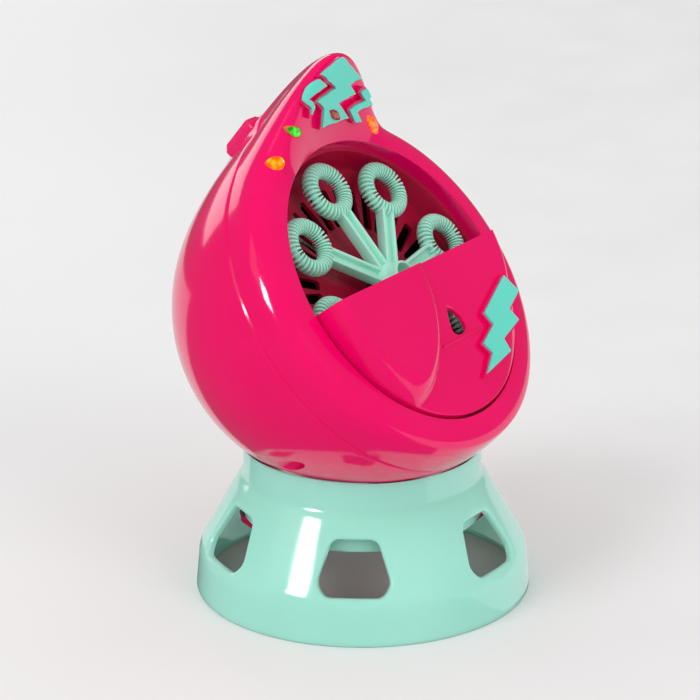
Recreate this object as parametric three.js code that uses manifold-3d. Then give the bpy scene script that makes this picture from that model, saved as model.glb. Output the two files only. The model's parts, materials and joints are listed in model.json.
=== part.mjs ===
// A tabletop bubble machine: a globe tilted back in a round stand, with a turning
// wheel of eight bubble wands, a fan behind it and a bubble tank in front of it.
// Millimetres, +Z up, front towards -Y. The origin is under the middle of the whole
// machine's outline; the stand's axis lies a little in front of it.
import * as THREE from 'three';
import { mergeVertices } from 'three/addons/utils/BufferGeometryUtils.js';
import Module from 'manifold-3d';

const wasm = await Module();
wasm.setup();

// ---------------------------------------------------------------- driving dimensions

const STAND_Y = -4.36;              // the stand's axis, from the middle of the outline
const GAP = 0.3;                    // clearance between neighbouring pieces
const SEAM_GAP = 0.15;              // half the gap between the two shells

const FOOT_RADIUS = 70;             // stand, at the table
const BAND_TOP = { r: 68.4, z: 17.9 };
const SHOULDER = { r: 51.2, z: 48.7 };
const COLLAR = { r: 49.6, z: 63.1 };
const STAND_WALL = 2.3;
const SKIRT = { outer: 50, inner: 48, z: 33 };    // ring under the shoulder that the hooks catch
const WINDOW_COUNT = 6;

const FACE_TILT = 36.5;             // the globe's face leans back by this angle, in degrees
const SEAM_CENTRE = new THREE.Vector3(0, -6.25, 126.4);
const GLOBE_RADIUS = 78;            // in the plane of the seam
const GLOBE_DEPTH = 87;             // seam to the back of the globe
const GLOBE_RISE = 2.5;             // how far the back of the globe sits above its axis
const SHELL_WALL = 2.4;
const OPENING_RADIUS = 62.6;        // round mouth of the front shell
const LIP_HEIGHT = 18;              // mouth plane, in front of the seam
const KEEL_HEIGHT = 11.3;           // ridge on top of the globe, at the seam
const HOOD_SPREAD = 40;             // degrees each side of the top that the hood covers
const COLLAR_REACH = 80.3;          // seam centre to the rim of the stand's collar

const CHAMBER_FLOOR = 0.8;          // front of the slotted wall behind the wheel
const WHEEL = { u: 1.35, d: 10.9, pitch: 45, ring: 9.3, tube: 3.4, count: 8, phase: 8.2 };
const COVER = { radius: 61.2, top: 1.5, face: 27, lean: 0.124, wall: 2 };
const FAN = { u: 40, radius: 17.5, duct: 18.6 };
const BATTERY = { radius: 7.1, length: 50, pitch: 15.4, z: 58.4 };
const WIRE_RADIUS = 1;

const rad = THREE.MathUtils.degToRad;
const mix = THREE.MathUtils.lerp;

// ---------------------------------------------------------------- materials

function plastic(color, roughness = 0.3) {
  return new THREE.MeshStandardMaterial({ color, roughness, metalness: 0 });
}

function metal(color, roughness = 0.35) {
  return new THREE.MeshStandardMaterial({ color, roughness, metalness: 1 });
}

const PINK = plastic(0xf0046a, 0.2);
const DARK_PINK = plastic(0xa0103c, 0.35);
const MINT = plastic(0x9fe6cf, 0.3);
const TEAL = plastic(0x57cdb2, 0.4);
const WHITE_PLASTIC = plastic(0xe9e6df, 0.5);
const BLACK_PLASTIC = plastic(0x222222, 0.6);
const CIRCUIT_GREEN = plastic(0x1f6b3a, 0.5);
const RUBBER = plastic(0x333333, 0.9);
const STEEL = metal(0xb8bcc0);
const BRASS = metal(0xc9a24a);

// ---------------------------------------------------------------- geometry helpers

// Drops everything but positions, merges them, and makes the faces point outward.
function closed(geometry) {
  const bare = geometry.clone();
  for (const name of Object.keys(bare.attributes)) {
    if (name !== 'position') bare.deleteAttribute(name);
  }
  const merged = mergeVertices(bare, 1e-4);
  const source = merged.index.array;
  const p = merged.attributes.position;
  const index = [];
  let volume = 0;
  const corner = (i) => new THREE.Vector3().fromBufferAttribute(p, i);
  for (let i = 0; i < source.length; i += 3) {
    const [a, b, c] = [source[i], source[i + 1], source[i + 2]];
    if (a === b || b === c || c === a) continue;
    index.push(a, b, c);
    volume += corner(a).dot(corner(b).cross(corner(c)));
  }
  if (volume < 0) index.reverse();
  merged.setIndex(index);
  return merged;
}

function toManifold(geometry) {
  const g = closed(geometry);
  const mesh = new wasm.Mesh({
    numProp: 3,
    vertProperties: new Float32Array(g.attributes.position.array),
    triVerts: new Uint32Array(g.index.array),
  });
  mesh.merge();
  return new wasm.Manifold(mesh);
}

function fromManifold(body) {
  const mesh = body.getMesh();
  const g = new THREE.BufferGeometry();
  g.setAttribute('position', new THREE.Float32BufferAttribute(mesh.vertProperties, 3));
  g.setIndex([...mesh.triVerts]);
  return g;
}

function join(first, ...others) {
  return fromManifold(others.reduce((sum, g) => sum.add(toManifold(g)), toManifold(first)));
}

function cut(first, ...others) {
  return fromManifold(others.reduce((rest, g) => rest.subtract(toManifold(g)), toManifold(first)));
}

function common(first, second) {
  return fromManifold(toManifold(first).intersect(toManifold(second)));
}

// A turned solid about Z from [radius, z] points that start and end on the axis,
// or that go once round a closed section.
function turned(points, segments = 32) {
  const onAxis = points[0][0] === 0 && points.at(-1)[0] === 0;
  const loop = onAxis ? points : [...points, points[0]];
  const profile = loop.map(([r, z]) => new THREE.Vector2(r, z));
  return new THREE.LatheGeometry(profile, segments).rotateX(Math.PI / 2);
}

function rod(radius, z0, z1, segments = 20) {
  return turned([[0, z0], [radius, z0], [radius, z1], [0, z1]], segments);
}

function tube(outer, inner, z0, z1, segments = 24) {
  return turned([[inner, z0], [outer, z0], [outer, z1], [inner, z1]], segments);
}

// A straight solid along Z with the given outline.
function prism(outline, z0, z1) {
  const drawn = outline instanceof THREE.Shape;
  const shape = drawn ? outline : new THREE.Shape(outline.map(([x, y]) => new THREE.Vector2(x, y)));
  const options = { depth: z1 - z0, bevelEnabled: false, curveSegments: 3 };
  return new THREE.ExtrudeGeometry(shape, options).translate(0, 0, z0);
}

function block([x0, y0, z0], [x1, y1, z1]) {
  const box = new THREE.BoxGeometry(x1 - x0, y1 - y0, z1 - z0);
  return box.translate((x0 + x1) / 2, (y0 + y1) / 2, (z0 + z1) / 2);
}

function roundedRectangle(width, height, radius) {
  const [w, h, r] = [width / 2, height / 2, radius];
  const shape = new THREE.Shape();
  shape.absarc(w - r, h - r, r, 0, Math.PI / 2);
  shape.absarc(r - w, h - r, r, Math.PI / 2, Math.PI);
  shape.absarc(r - w, r - h, r, Math.PI, 1.5 * Math.PI);
  shape.absarc(w - r, r - h, r, 1.5 * Math.PI, 2 * Math.PI);
  return shape;
}

// Triangles between the rings of a grid; every row is a closed ring of the same length.
function stitchRings(rings, closeRows) {
  const width = rings[0].length;
  const rows = closeRows ? rings.length : rings.length - 1;
  const index = [];
  for (let j = 0; j < rows; j++) {
    const next = (j + 1) % rings.length;
    for (let i = 0; i < width; i++) {
      const [a, b] = [j * width + i, j * width + (i + 1) % width];
      const [c, d] = [next * width + i, next * width + (i + 1) % width];
      index.push(a, b, d, a, d, c);
    }
  }
  const positions = rings.flat().flatMap((v) => [v.x, v.y, v.z]);
  const g = new THREE.BufferGeometry();
  g.setAttribute('position', new THREE.Float32BufferAttribute(positions, 3));
  g.setIndex(index);
  return g;
}

// A tube of round section along a smooth curve through the given points.
function wire(points, radius) {
  const section = new THREE.Shape();
  section.absarc(0, 0, radius, 0, 2 * Math.PI);
  const extrudePath = new THREE.CatmullRomCurve3(points.map((p) => new THREE.Vector3(...p)));
  return new THREE.ExtrudeGeometry(section, { steps: 14, extrudePath, curveSegments: 3 });
}

// A cubic B-spline through a control polygon of [r, d] points, ends included.
function spline(polygon, t) {
  const [first, last] = [polygon[0], polygon.at(-1)];
  const knots = [first, first, ...polygon, last, last];
  const spans = knots.length - 3;
  const i = Math.min(Math.floor(t * spans), spans - 1);
  const s = t * spans - i;
  const weights = [
    (1 - s) ** 3 / 6,
    (3 * s ** 3 - 6 * s ** 2 + 4) / 6,
    (-3 * s ** 3 + 3 * s ** 2 + 3 * s + 1) / 6,
    s ** 3 / 6,
  ];
  return [0, 1].map((axis) => weights.reduce((sum, w, k) => sum + w * knots[i + k][axis], 0));
}

// ---------------------------------------------------------------- the tilted head

// Head coordinates: x to the side, y up the face, z out of the face, from the seam centre.
const head = new THREE.Group();
head.position.copy(SEAM_CENTRE);
head.rotation.x = rad(90 - FACE_TILT);
head.updateMatrix();
const headToObject = head.matrix.clone();
const objectToHead = headToObject.clone().invert();

// Degrees from the top of the face, clockwise: the columns of both shells.
const COLUMNS = [];
for (let k = -7; k <= 7; k++) COLUMNS.push(k * 6);
for (let k = 1; k < 20; k++) COLUMNS.push(42 + (k * 276) / 20);

// 1 on the ridge, falling to 0 at the hood's spread.
function hoodBump(beta) {
  const off = Math.abs(beta > 180 ? beta - 360 : beta);
  return Math.cos((Math.PI / 2) * Math.min(off / HOOD_SPREAD, 1)) ** 2.2;
}

// The ridge is narrower where it reaches the seam.
function keelBump(beta, width = 5) {
  const off = Math.abs(beta > 180 ? beta - 360 : beta);
  return 0.55 * Math.exp(-((off / width) ** 2)) + 0.45 * hoodBump(beta) ** 1.15;
}

// The globe is drawn in to meet the round collar of the stand.
function tuckIntoCollar(point, inset) {
  const p = point.clone().applyMatrix4(headToObject);
  const reach = COLLAR_REACH - inset;
  const below = SEAM_CENTRE.z - p.z;
  const pull = 1 - THREE.MathUtils.smoothstep(p.z, 64, 104);
  if (below > 0 && below < reach && pull > 0) {
    const limit = Math.sqrt(reach ** 2 - below ** 2);
    const radius = Math.hypot(p.x, p.y);
    if (radius > limit) {
      const scale = mix(1, limit / radius, pull);
      p.x *= scale;
      p.y *= scale;
    }
  }
  return p.applyMatrix4(objectToHead);
}

function headPoint(beta, r, d, rise = 0, inset = 0) {
  const point = new THREE.Vector3(r * Math.sin(rad(beta)), r * Math.cos(rad(beta)) + rise, d);
  return tuckIntoCollar(point, inset);
}

// One point of the globe behind the seam; phi runs from 0 at the seam to 90 at the back.
function backPoint(beta, phi, inset) {
  const d = -(GLOBE_DEPTH - inset) * Math.sin(rad(phi)) - SEAM_GAP;
  const fade = 1 - THREE.MathUtils.smoothstep(-d, -12, 58);
  const keel = KEEL_HEIGHT * fade * keelBump(beta, 5 - d * 0.14);
  const r = (GLOBE_RADIUS - inset + keel) * Math.cos(rad(phi));
  return headPoint(beta, r, d, GLOBE_RISE * (-d / GLOBE_DEPTH), inset);
}

// Control polygons of the front shell, [radius, depth] from the seam to the mouth:
// the round rim, the hood over the top, and the inner skin of each.
const RIM = [
  [GLOBE_RADIUS, SEAM_GAP], [78, 7], [77, 12], [74, 15.8],
  [70.5, 17.3], [67.5, 17.8], [65, LIP_HEIGHT], [OPENING_RADIUS, LIP_HEIGHT],
];
const HOOD = [
  [88.4, SEAM_GAP], [91.2, 13], [93.6, 30], [92.8, 41],
  [90.4, 45.4], [87.2, 42.2], [75, 30.6], [OPENING_RADIUS, LIP_HEIGHT],
];
const RIM_INSIDE = [
  [75.6, SEAM_GAP], [75.6, 6.5], [74.8, 10.5], [72.4, 13.6],
  [69.8, 15], [67.5, 15.5], [66, 15.6], [64.6, 15.6],
];
const HOOD_INSIDE = [
  [86, SEAM_GAP], [88.6, 13], [90.6, 29], [90, 38.6],
  [88.6, 41.2], [85.2, 38.4], [75.6, 28.4], [64.6, 15.6],
];

function frontProfile(beta, rim, hood) {
  const bump = hoodBump(beta);
  const keel = keelBump(beta);
  return rim.map(([r, d], k) => {
    const blend = Math.min(k / 3, 1);
    const w = mix(keel, bump, blend);
    return [mix(r, hood[k][0], w), mix(d, hood[k][1], w ** 1.1)];
  });
}

function frontPoint(beta, t, rim = RIM, hood = HOOD) {
  const [r, d] = spline(frontProfile(beta, rim, hood), t);
  return headPoint(beta, r, d);
}

// A frame on the hood's outer skin: z out of the surface, y up the face.
function onFront(beta, t, spin = 0) {
  const here = frontPoint(beta, t);
  const up = frontPoint(beta, t - 0.02).sub(here).normalize();
  const side = frontPoint(beta + 1, t).sub(frontPoint(beta - 1, t)).normalize();
  const out = side.clone().cross(up).normalize();
  const right = up.clone().cross(out);
  const turn = new THREE.Matrix4().makeRotationZ(spin);
  return new THREE.Matrix4().makeBasis(right, up, out).multiply(turn).setPosition(here);
}

// ---------------------------------------------------------------- stand

const WINDOW_EDGE = [
  [-9.4, 40.6], [9.4, 40.6], [15.6, 24.4], [12.2, 19.8], [-12.2, 19.8], [-15.6, 24.4],
];

// A cutter that reaches in as far as the skirt.
function standWindow() {
  return prism(WINDOW_EDGE, SKIRT.outer + 1, FOOT_RADIUS + 5).rotateX(Math.PI / 2);
}

function standGeometry() {
  const w = STAND_WALL;
  const body = turned([
    [FOOT_RADIUS, 0],
    [FOOT_RADIUS - 0.4, 1.5],
    [BAND_TOP.r, BAND_TOP.z],
    [SHOULDER.r, SHOULDER.z],
    [SHOULDER.r - 0.9, SHOULDER.z + 0.9],
    [COLLAR.r, SHOULDER.z + 2],
    [COLLAR.r, COLLAR.z],
    [COLLAR.r - w, COLLAR.z],
    [COLLAR.r - w, SHOULDER.z + 1.2],
    [SHOULDER.r - w, SHOULDER.z - 1.4],
    [BAND_TOP.r - w, BAND_TOP.z - 0.8],
    [FOOT_RADIUS - w, 0],
  ], 42);
  const windows = [];
  for (let k = 0; k < WINDOW_COUNT; k++) {
    windows.push(standWindow().rotateZ((k * 2 * Math.PI) / WINDOW_COUNT));
  }
  const skirt = tube(SKIRT.outer, SKIRT.inner, SKIRT.z, SHOULDER.z + 0.5, 42);
  return cut(join(body, skirt), ...windows, globeSolid(2 * GAP).applyMatrix4(headToObject));
}

// ---------------------------------------------------------------- globe shells

function backRings(inset) {
  const rings = [];
  for (const phi of [0, 12, 25, 38, 50, 62, 75]) {
    rings.push(COLUMNS.map((beta) => backPoint(beta, phi, inset)));
  }
  rings.push(COLUMNS.map(() => backPoint(0, 90, inset)));
  return rings;
}

// The whole lower globe as one solid, grown by a margin, to shape what it rests in.
function globeSolid(margin) {
  const front = COLUMNS.map(() => new THREE.Vector3(0, 0, 12));
  const waist = COLUMNS.map((beta) => headPoint(beta, GLOBE_RADIUS + margin, 12, 0, -margin));
  return stitchRings([front, waist, ...backRings(-margin)], false);
}

function batteryNeck() {
  const outer = prism(roundedRectangle(57, 72, 7), 47.4, 60);
  const inner = prism(roundedRectangle(53, 68, 5), 40, 70);
  return { outer: outer.applyMatrix4(objectToHead), inner: inner.applyMatrix4(objectToHead) };
}

// Hooks under the globe that snap below the skirt of the stand: where they stand, in
// degrees about it, and their outline as [radius, height].
const HOOK_ANGLES = [50, 130, -55, -125];
const HOOK_SIDE = [
  [42.6, 63], [42.6, 58], [44.6, 54], [44.6, 27], [47.4, 27],
  [51.5, 30.6], [51.5, 32.6], [46.8, 32.6], [46.8, 61.5],
];

function snapHook(azimuth) {
  const hook = prism(HOOK_SIDE, -4, 4).rotateX(Math.PI / 2);
  return hook.rotateZ(rad(azimuth)).applyMatrix4(objectToHead);
}

// Where the shell screws enter the back of the globe: [degrees from the top, radius].
const SHELL_SCREWS = [[128, 69.5], [-128, 69.5], [26, 66.5], [-26, 66.5]];
const SCREW_SEAT = -7;

function shellScrewPlace([beta, radius]) {
  return new THREE.Vector3(radius * Math.sin(rad(beta)), radius * Math.cos(rad(beta)), 0);
}

const BUTTON = { u: 84.9, d: -16, lean: 14, width: 12, length: 22, travel: 2 };

// The button's frame: z out of the ridge, y along it towards the front.
const buttonFrame = new THREE.Matrix4()
  .makeRotationX(rad(-90 - BUTTON.lean))
  .setPosition(0, BUTTON.u, BUTTON.d);

function backShellGeometry() {
  const shell = stitchRings([...backRings(0), ...backRings(SHELL_WALL).reverse()], true);
  const neck = batteryNeck();
  const hooks = HOOK_ANGLES.map(snapHook);
  const solid = globeSolid(-GAP);
  const at = (geometry, place) => geometry.translate(...shellScrewPlace(place));
  const wells = SHELL_SCREWS.map((place) => common(at(rod(5.2, -70, -1.2, 12), place), solid));
  const counterbores = SHELL_SCREWS.map((place) => at(rod(3.6, -75, SCREW_SEAT, 12), place));
  const bores = SHELL_SCREWS.map((place) => at(rod(1.8, SCREW_SEAT - 1, 0, 8), place));
  const slot = prism(roundedRectangle(BUTTON.width + 2 * GAP, BUTTON.length + 2 * GAP, 2), -14, 12);
  const body = join(shell, neck.outer, ...hooks, ...wells);
  return cut(body, neck.inner, slot.applyMatrix4(buttonFrame), ...counterbores, ...bores);
}

// Outlines laid on the hood: millimetres across it, and millimetres down it from the seam.
const ACROSS_PER_DEGREE = 1.5;
const DOWN_PER_SHARE = 100;
const HOOD_BOLT = [
  [-13, 58.4], [-6.9, 60], [0.4, 59], [5.2, 64], [11, 66.3], [17.1, 66.6], [8.2, 72.1],
  [13.7, 73.8], [7.1, 76.1], [0.1, 77.1], [5.5, 79.5], [11.3, 81.6], [0, 82.6], [-12.6, 81.2],
  [-11.7, 75.4], [-17.5, 69.2], [-10, 71.8], [-3.1, 72.3], [-9.3, 67],
];
const HOOD_SPARK_LEFT = [
  [-14.6, 59.1], [-13, 63.9], [-10, 68.5], [-15.3, 66.3], [-21.8, 60.7], [-18.8, 70],
  [-21.4, 71.2], [-21.2, 68], [-23.1, 61.5], [-23.3, 56.9], [-22, 55.6], [-19.6, 55.2], [-17.2, 56.6],
];
const HOOD_SPARK_RIGHT = [
  [23, 66.9], [27.3, 66.8], [26, 69.2], [29.7, 69.4], [25.6, 73.9], [17.7, 78.8],
  [23.3, 81], [18.1, 82.4], [11.1, 79.3], [20.1, 74.9], [23.1, 72.5], [18, 71.9],
];
const PAD = { back: -4, top: 1.7, border: 0.7 };
const PLATE = { back: 2.2, top: 3 };

// Bends a piece drawn flat, with z as height, onto the hood's skin.
function laidOnHood(geometry) {
  const p = geometry.attributes.position;
  for (let i = 0; i < p.count; i++) {
    const frame = onFront(p.getX(i) / ACROSS_PER_DEGREE, p.getY(i) / DOWN_PER_SHARE);
    const point = new THREE.Vector3(0, 0, p.getZ(i)).applyMatrix4(frame);
    p.setXYZ(i, point.x, point.y, point.z);
  }
  return geometry;
}

// An outline moved outward by a margin, corner by corner.
function grown(outline, margin) {
  const corners = outline.map(([x, y]) => new THREE.Vector2(x, y));
  const side = THREE.ShapeUtils.area(corners) < 0 ? -1 : 1;
  return corners.map((corner, i) => {
    const before = corner.clone().sub(corners.at(i - 1)).normalize();
    const after = corners[(i + 1) % corners.length].clone().sub(corner).normalize();
    const normal = new THREE.Vector2(before.y + after.y, -before.x - after.x).normalize();
    return corner.clone().addScaledVector(normal, margin * side).toArray();
  });
}

const GEMS = {
  green: { beta: -20.9, t: 0.656, spin: 0.5, length: 8, width: 5, color: 0x2fd01a },
  amber: { beta: -30.7, t: 0.523, spin: 0.4, length: 8.5, width: 5.5, color: 0xff9a10 },
  orange: { beta: 25.2, t: 0.742, spin: -0.4, length: 8.5, width: 5.5, color: 0xff5a10 },
};

// An almond of two equal arcs.
function almond(length, width) {
  const radius = (length ** 2 + width ** 2) / (4 * width);
  const half = Math.asin(length / 2 / radius);
  const shape = new THREE.Shape();
  shape.absarc(0, width / 2 - radius, radius, Math.PI / 2 + half, Math.PI / 2 - half, true);
  shape.absarc(0, radius - width / 2, radius, half - Math.PI / 2, -half - Math.PI / 2, true);
  return shape;
}

const RED_GEM = { beta: -1.4, t: 0.801, spin: -0.63, length: 6.6, width: 3.4, color: 0xe0203a };

// A hole for a gem, a little larger than the stone.
function gemHole(gem, back, front) {
  const outline = almond(gem.length + 1, gem.width + 0.8);
  return prism(outline, back, front).applyMatrix4(onFront(gem.beta, gem.t, gem.spin));
}

function frontRings(rim, hood) {
  const rings = [];
  for (let j = 0; j <= 9; j++) {
    rings.push(COLUMNS.map((beta) => frontPoint(beta, j / 9, rim, hood)));
  }
  return rings;
}

function frontShellGeometry() {
  const lip = [[61.8, 12.6], [63.4, 12.6]].map(([r, d]) => COLUMNS.map((beta) => headPoint(beta, r, d)));
  const lining = frontRings(RIM_INSIDE, HOOD_INSIDE).reverse();
  const skin = stitchRings([...frontRings(RIM, HOOD), ...lip, ...lining], true);
  const pads = [HOOD_BOLT, HOOD_SPARK_LEFT, HOOD_SPARK_RIGHT].map((outline) =>
    laidOnHood(prism(grown(outline, PAD.border), PAD.back, PAD.top)));
  const holes = Object.values(GEMS).map((gem) => gemHole(gem, -6, 4));
  return cut(join(skin, ...pads), ...holes, gemHole(RED_GEM, -8, 6));
}

function emblemPlate(outline) {
  return laidOnHood(prism(outline, PLATE.back, PLATE.top));
}

function gemGeometry(length, width, back, front) {
  const stone = prism(almond(length, width), back, front);
  const crown = prism(almond(length * 0.6, width * 0.6), front - 0.5, front + 0.7);
  return join(stone, crown);
}

function ledGeometry() {
  return turned([[0, -6], [1.5, -6], [1.5, -2.4], [1.1, -1.4], [0, -1]], 10);
}

// ---------------------------------------------------------------- wand chamber and tank cover

const AIR_SLOT = { width: 4.4, length: 17, middle: 40.5 };

function chamberGeometry() {
  const body = turned([
    [0, CHAMBER_FLOOR],
    [59.2, CHAMBER_FLOOR],
    [61, 12],
    [66.5, 12],
    [66.5, 10.6],
    [62.8, 10.6],
    [60.8, CHAMBER_FLOOR - 1.8],
    [0, CHAMBER_FLOOR - 1.8],
  ], 36);
  const slot = prism(roundedRectangle(AIR_SLOT.width, AIR_SLOT.length, 1.5), -3, 3);
  const slots = [];
  for (let angle = -75; angle <= 75; angle += 10) {
    slots.push(slot.clone().translate(0, AIR_SLOT.middle, 0).rotateZ(rad(-angle)));
  }
  const bore = rod(3.4, -3, 3, 20).translate(0, WHEEL.u, 0);
  return cut(body, bore, ...slots);
}

const BULGE = { x: -47.1, u: -1.5, radius: 47.3, height: 4.3 };

// The flat face of the cover leans a little downwards.
function coverFace(u) {
  return COVER.face + COVER.lean * (u - COVER.top);
}

// Height of the cover's outer skin above the seam plane: face, bulge and round shoulder.
function coverHeight(x, u) {
  const rho = Math.hypot(x - BULGE.x, u - BULGE.u) / BULGE.radius;
  const top = coverFace(u) + (rho < 1 ? BULGE.height * (1 - rho ** 14) : 0);
  const shoulder = mix(4, 14, THREE.MathUtils.smoothstep(-u, 5, 60));
  const drop = Math.min(shoulder, top - LIP_HEIGHT - 0.8);
  const inward = Math.min(1, (COVER.radius - Math.hypot(x, u)) / shoulder);
  return top - drop * (1 - Math.sqrt(Math.max(0, 1 - (1 - inward) ** 2)));
}

const COVER_COLUMNS = 24;

// Fans of points over the half disc of the cover, as rings round its skin and its back.
function coverRows(height, radius, top) {
  const rows = [];
  for (let k = 0; k <= COVER_COLUMNS; k++) {
    const angle = Math.PI + (k / COVER_COLUMNS) * Math.PI;
    const reach = Math.sqrt(radius ** 2 - (top * Math.cos(angle)) ** 2) - top * Math.sin(angle);
    const row = [];
    for (const f of [0, 0.35, 0.6, 0.76, 0.87, 0.94, 0.98, 1]) {
      const [x, u] = [f * reach * Math.cos(angle), top + f * reach * Math.sin(angle)];
      row.push(new THREE.Vector3(x, u, height(x, u)));
    }
    rows.push(row);
  }
  return rows;
}

function coverGeometry() {
  const outside = coverRows(coverHeight, COVER.radius, COVER.top);
  const r = COVER.radius - COVER.wall;
  const inside = coverRows((x, u) => coverHeight(x * 0.98, u * 0.98) - COVER.wall, r, COVER.top);
  const rings = outside.map((row, k) => {
    const [outerEdge, innerEdge] = [row.at(-1).clone(), inside[k].at(-1).clone()];
    outerEdge.z = 13;
    innerEdge.z = 13;
    return [...row, outerEdge, innerEdge, ...inside[k].slice().reverse()];
  });
  return capEnds(rings);
}

// Closes a stack of section loops with a flat strip at each end.
function capEnds(rings) {
  const g = stitchRings(rings, false);
  const index = [...g.index.array];
  const width = rings[0].length;
  const last = (rings.length - 1) * width;
  for (let i = 0; i < width / 2 - 1; i++) {
    const [a, b, c, d] = [i, i + 1, width - 1 - i, width - 2 - i];
    index.push(a, c, b, b, c, d);
    index.push(last + a, last + b, last + c, last + b, last + d, last + c);
  }
  g.setIndex(index);
  return g;
}

const COVER_BOLT = [
  [48.6, -17.8], [54, -26.3], [42.2, -31.2], [45.4, -36.9], [30, -40.9], [31, -46.7],
  [9.6, -50.2], [19, -43.8], [15.8, -38.7], [27.6, -33.8], [25.2, -27.9],
];

// Moves a piece drawn flat onto the leaning face of the cover.
function onCover(geometry) {
  const p = geometry.attributes.position;
  for (let i = 0; i < p.count; i++) p.setZ(i, p.getZ(i) + coverFace(p.getY(i)));
  return geometry;
}

function coverWindow() {
  const shape = new THREE.Shape();
  shape.moveTo(6.2, -18.6);
  shape.quadraticCurveTo(13.4, -22.4, 13.6, -28.6);
  shape.quadraticCurveTo(10.6, -33, 5, -30.2);
  shape.quadraticCurveTo(2.8, -28, 6.2, -18.6);
  return shape;
}

function tankCoverGeometry() {
  const level = onCover(block([-7.6, -32.8, -0.5], [21.4, -32.2, 0.4]));
  const pad = onCover(prism(grown(COVER_BOLT, 0.9), -4, 1.6));
  const window = onCover(prism(coverWindow(), -6, 6));
  return cut(join(coverGeometry(), level, pad), window);
}

function coverBoltGeometry() {
  return onCover(prism(COVER_BOLT, 1.62, 2.6));
}

// ---------------------------------------------------------------- wand wheel

function wandGeometry() {
  const ring = new THREE.TorusGeometry(WHEEL.ring, WHEEL.tube, 6, 12).translate(0, WHEEL.pitch, 0);
  const spoke = block([-3.2, 4, -2], [3.2, WHEEL.pitch - WHEEL.ring, 1.6]);
  return { ring, spoke };
}

function wandWheelGeometry() {
  const pieces = [rod(7.8, -3.6, 3.6, 24), rod(5.9, 3, 9.2, 24)];
  for (let k = 0; k < WHEEL.count; k++) {
    const angle = rad(WHEEL.phase + (k * 360) / WHEEL.count);
    const { ring, spoke } = wandGeometry();
    pieces.push(ring.rotateZ(angle), spoke.rotateZ(angle));
  }
  const shaftBore = rod(2, -5, 1, 16);
  const mouth = rod(4.3, 0.9, 10, 20);
  return cut(join(...pieces), shaftBore, mouth);
}

// A flanged rubber sleeve round the shaft where it passes the chamber wall.
function sealGeometry() {
  return turned([[2, -1.3], [3.1, -1.3], [3.1, 1.1], [4.6, 1.1], [4.6, 2], [2, 2]], 16);
}

// ---------------------------------------------------------------- gears

const MODULE = 1.25;

// Spur gear outline; the first tooth is centred on the given angle.
function gearOutline(teeth, firstTooth) {
  const pitch = (2 * Math.PI) / teeth;
  const radius = (teeth * MODULE) / 2;
  const profile = [[-0.29, -1.15], [-0.12, 0.8], [0.12, 0.8], [0.29, -1.15]];
  const outline = [];
  for (let k = 0; k < teeth; k++) {
    for (const [share, height] of profile) {
      const angle = firstTooth + (k + share) * pitch;
      const reach = radius + height * MODULE;
      outline.push([reach * Math.cos(angle), reach * Math.sin(angle)]);
    }
  }
  return outline;
}

// Angle of the first tooth of a gear that meshes with another along a line of centres.
function meshingTooth(teeth, lineAngle, driverTeeth, driverTooth) {
  const driverShare = ((lineAngle - driverTooth) * driverTeeth) / (2 * Math.PI);
  return lineAngle + Math.PI - ((0.5 - driverShare) * 2 * Math.PI) / teeth;
}

const TEETH = { output: 27, small: 10, large: 24, pinion: 8 };
const LINE_A = rad(-30);
const LINE_B = rad(-165);
const LINE_M = rad(175);

function stepFrom(centre, angle, teethSum) {
  const distance = (teethSum * MODULE) / 2;
  return new THREE.Vector2(centre.x + distance * Math.cos(angle), centre.y + distance * Math.sin(angle));
}

const WHEEL_AXIS = new THREE.Vector2(0, WHEEL.u);
const GEAR_A = stepFrom(WHEEL_AXIS, LINE_A, TEETH.output + TEETH.small);
const GEAR_B = stepFrom(GEAR_A, LINE_B, TEETH.large + TEETH.small);
const PINION = stepFrom(GEAR_B, LINE_M, TEETH.large + TEETH.pinion);
const LEVELS = { output: [-17, -13], first: [-22, -18], second: [-27, -23], plate: [-31.4, -29.6] };

const toothA = meshingTooth(TEETH.small, LINE_A, TEETH.output, 0);
const toothB = meshingTooth(TEETH.small, LINE_B, TEETH.large, toothA);
const toothM = meshingTooth(TEETH.pinion, LINE_M, TEETH.large, toothB);

function outputGearGeometry() {
  const wheel = prism(gearOutline(TEETH.output, 0), ...LEVELS.output);
  return cut(wheel, rod(2, -20, -10, 16));
}

function compoundGearGeometry(tooth, smallLevel, largeLevel) {
  const small = prism(gearOutline(TEETH.small, tooth), smallLevel[0], smallLevel[1]);
  const neck = rod(4.5, largeLevel[1] - 0.5, smallLevel[0] + 0.5, 16);
  const large = prism(gearOutline(TEETH.large, tooth), largeLevel[0], largeLevel[1]);
  return cut(join(small, neck, large), rod(1.5, -40, 0, 12));
}

function pinionGeometry() {
  const gear = prism(gearOutline(TEETH.pinion, toothM), LEVELS.second[0], LEVELS.second[1]);
  return join(gear, rod(1.2, -32, LEVELS.second[0] + 0.5, 12));
}

function gearPlateGeometry() {
  const plate = prism(roundedRectangle(76, 40, 6), ...LEVELS.plate).translate(1, -12.5, 0);
  const corners = [[-31, 1], [35, 2], [35, -28], [-31, -28]];
  const posts = corners.map(([x, y]) => rod(3, LEVELS.plate[1] - 0.5, -11.9, 10).translate(x, y, 0));
  const hole = rod(2, -40, -20, 12).translate(PINION.x, PINION.y, 0);
  return cut(join(plate, ...posts), hole);
}

function gearPinGeometry(front) {
  return rod(1.2, LEVELS.plate[1] + 0.3, front, 12);
}

// ---------------------------------------------------------------- air chest and fan

function airChestGeometry() {
  const bowl = [[0, -9.8], [57.2, -9.8], [57.2, -1.3], [58.8, -1.3], [58.8, -11.6], [0, -11.6]];
  const body = turned(bowl, 36);
  const bearing = rod(4.4, -11, -6, 20).translate(0, WHEEL.u, 0);
  const bore = rod(2, -13, -5, 16).translate(0, WHEEL.u, 0);
  return cut(join(body, bearing), bore, rod(FAN.duct, -13, -8, 24).translate(0, FAN.u, 0));
}

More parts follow.
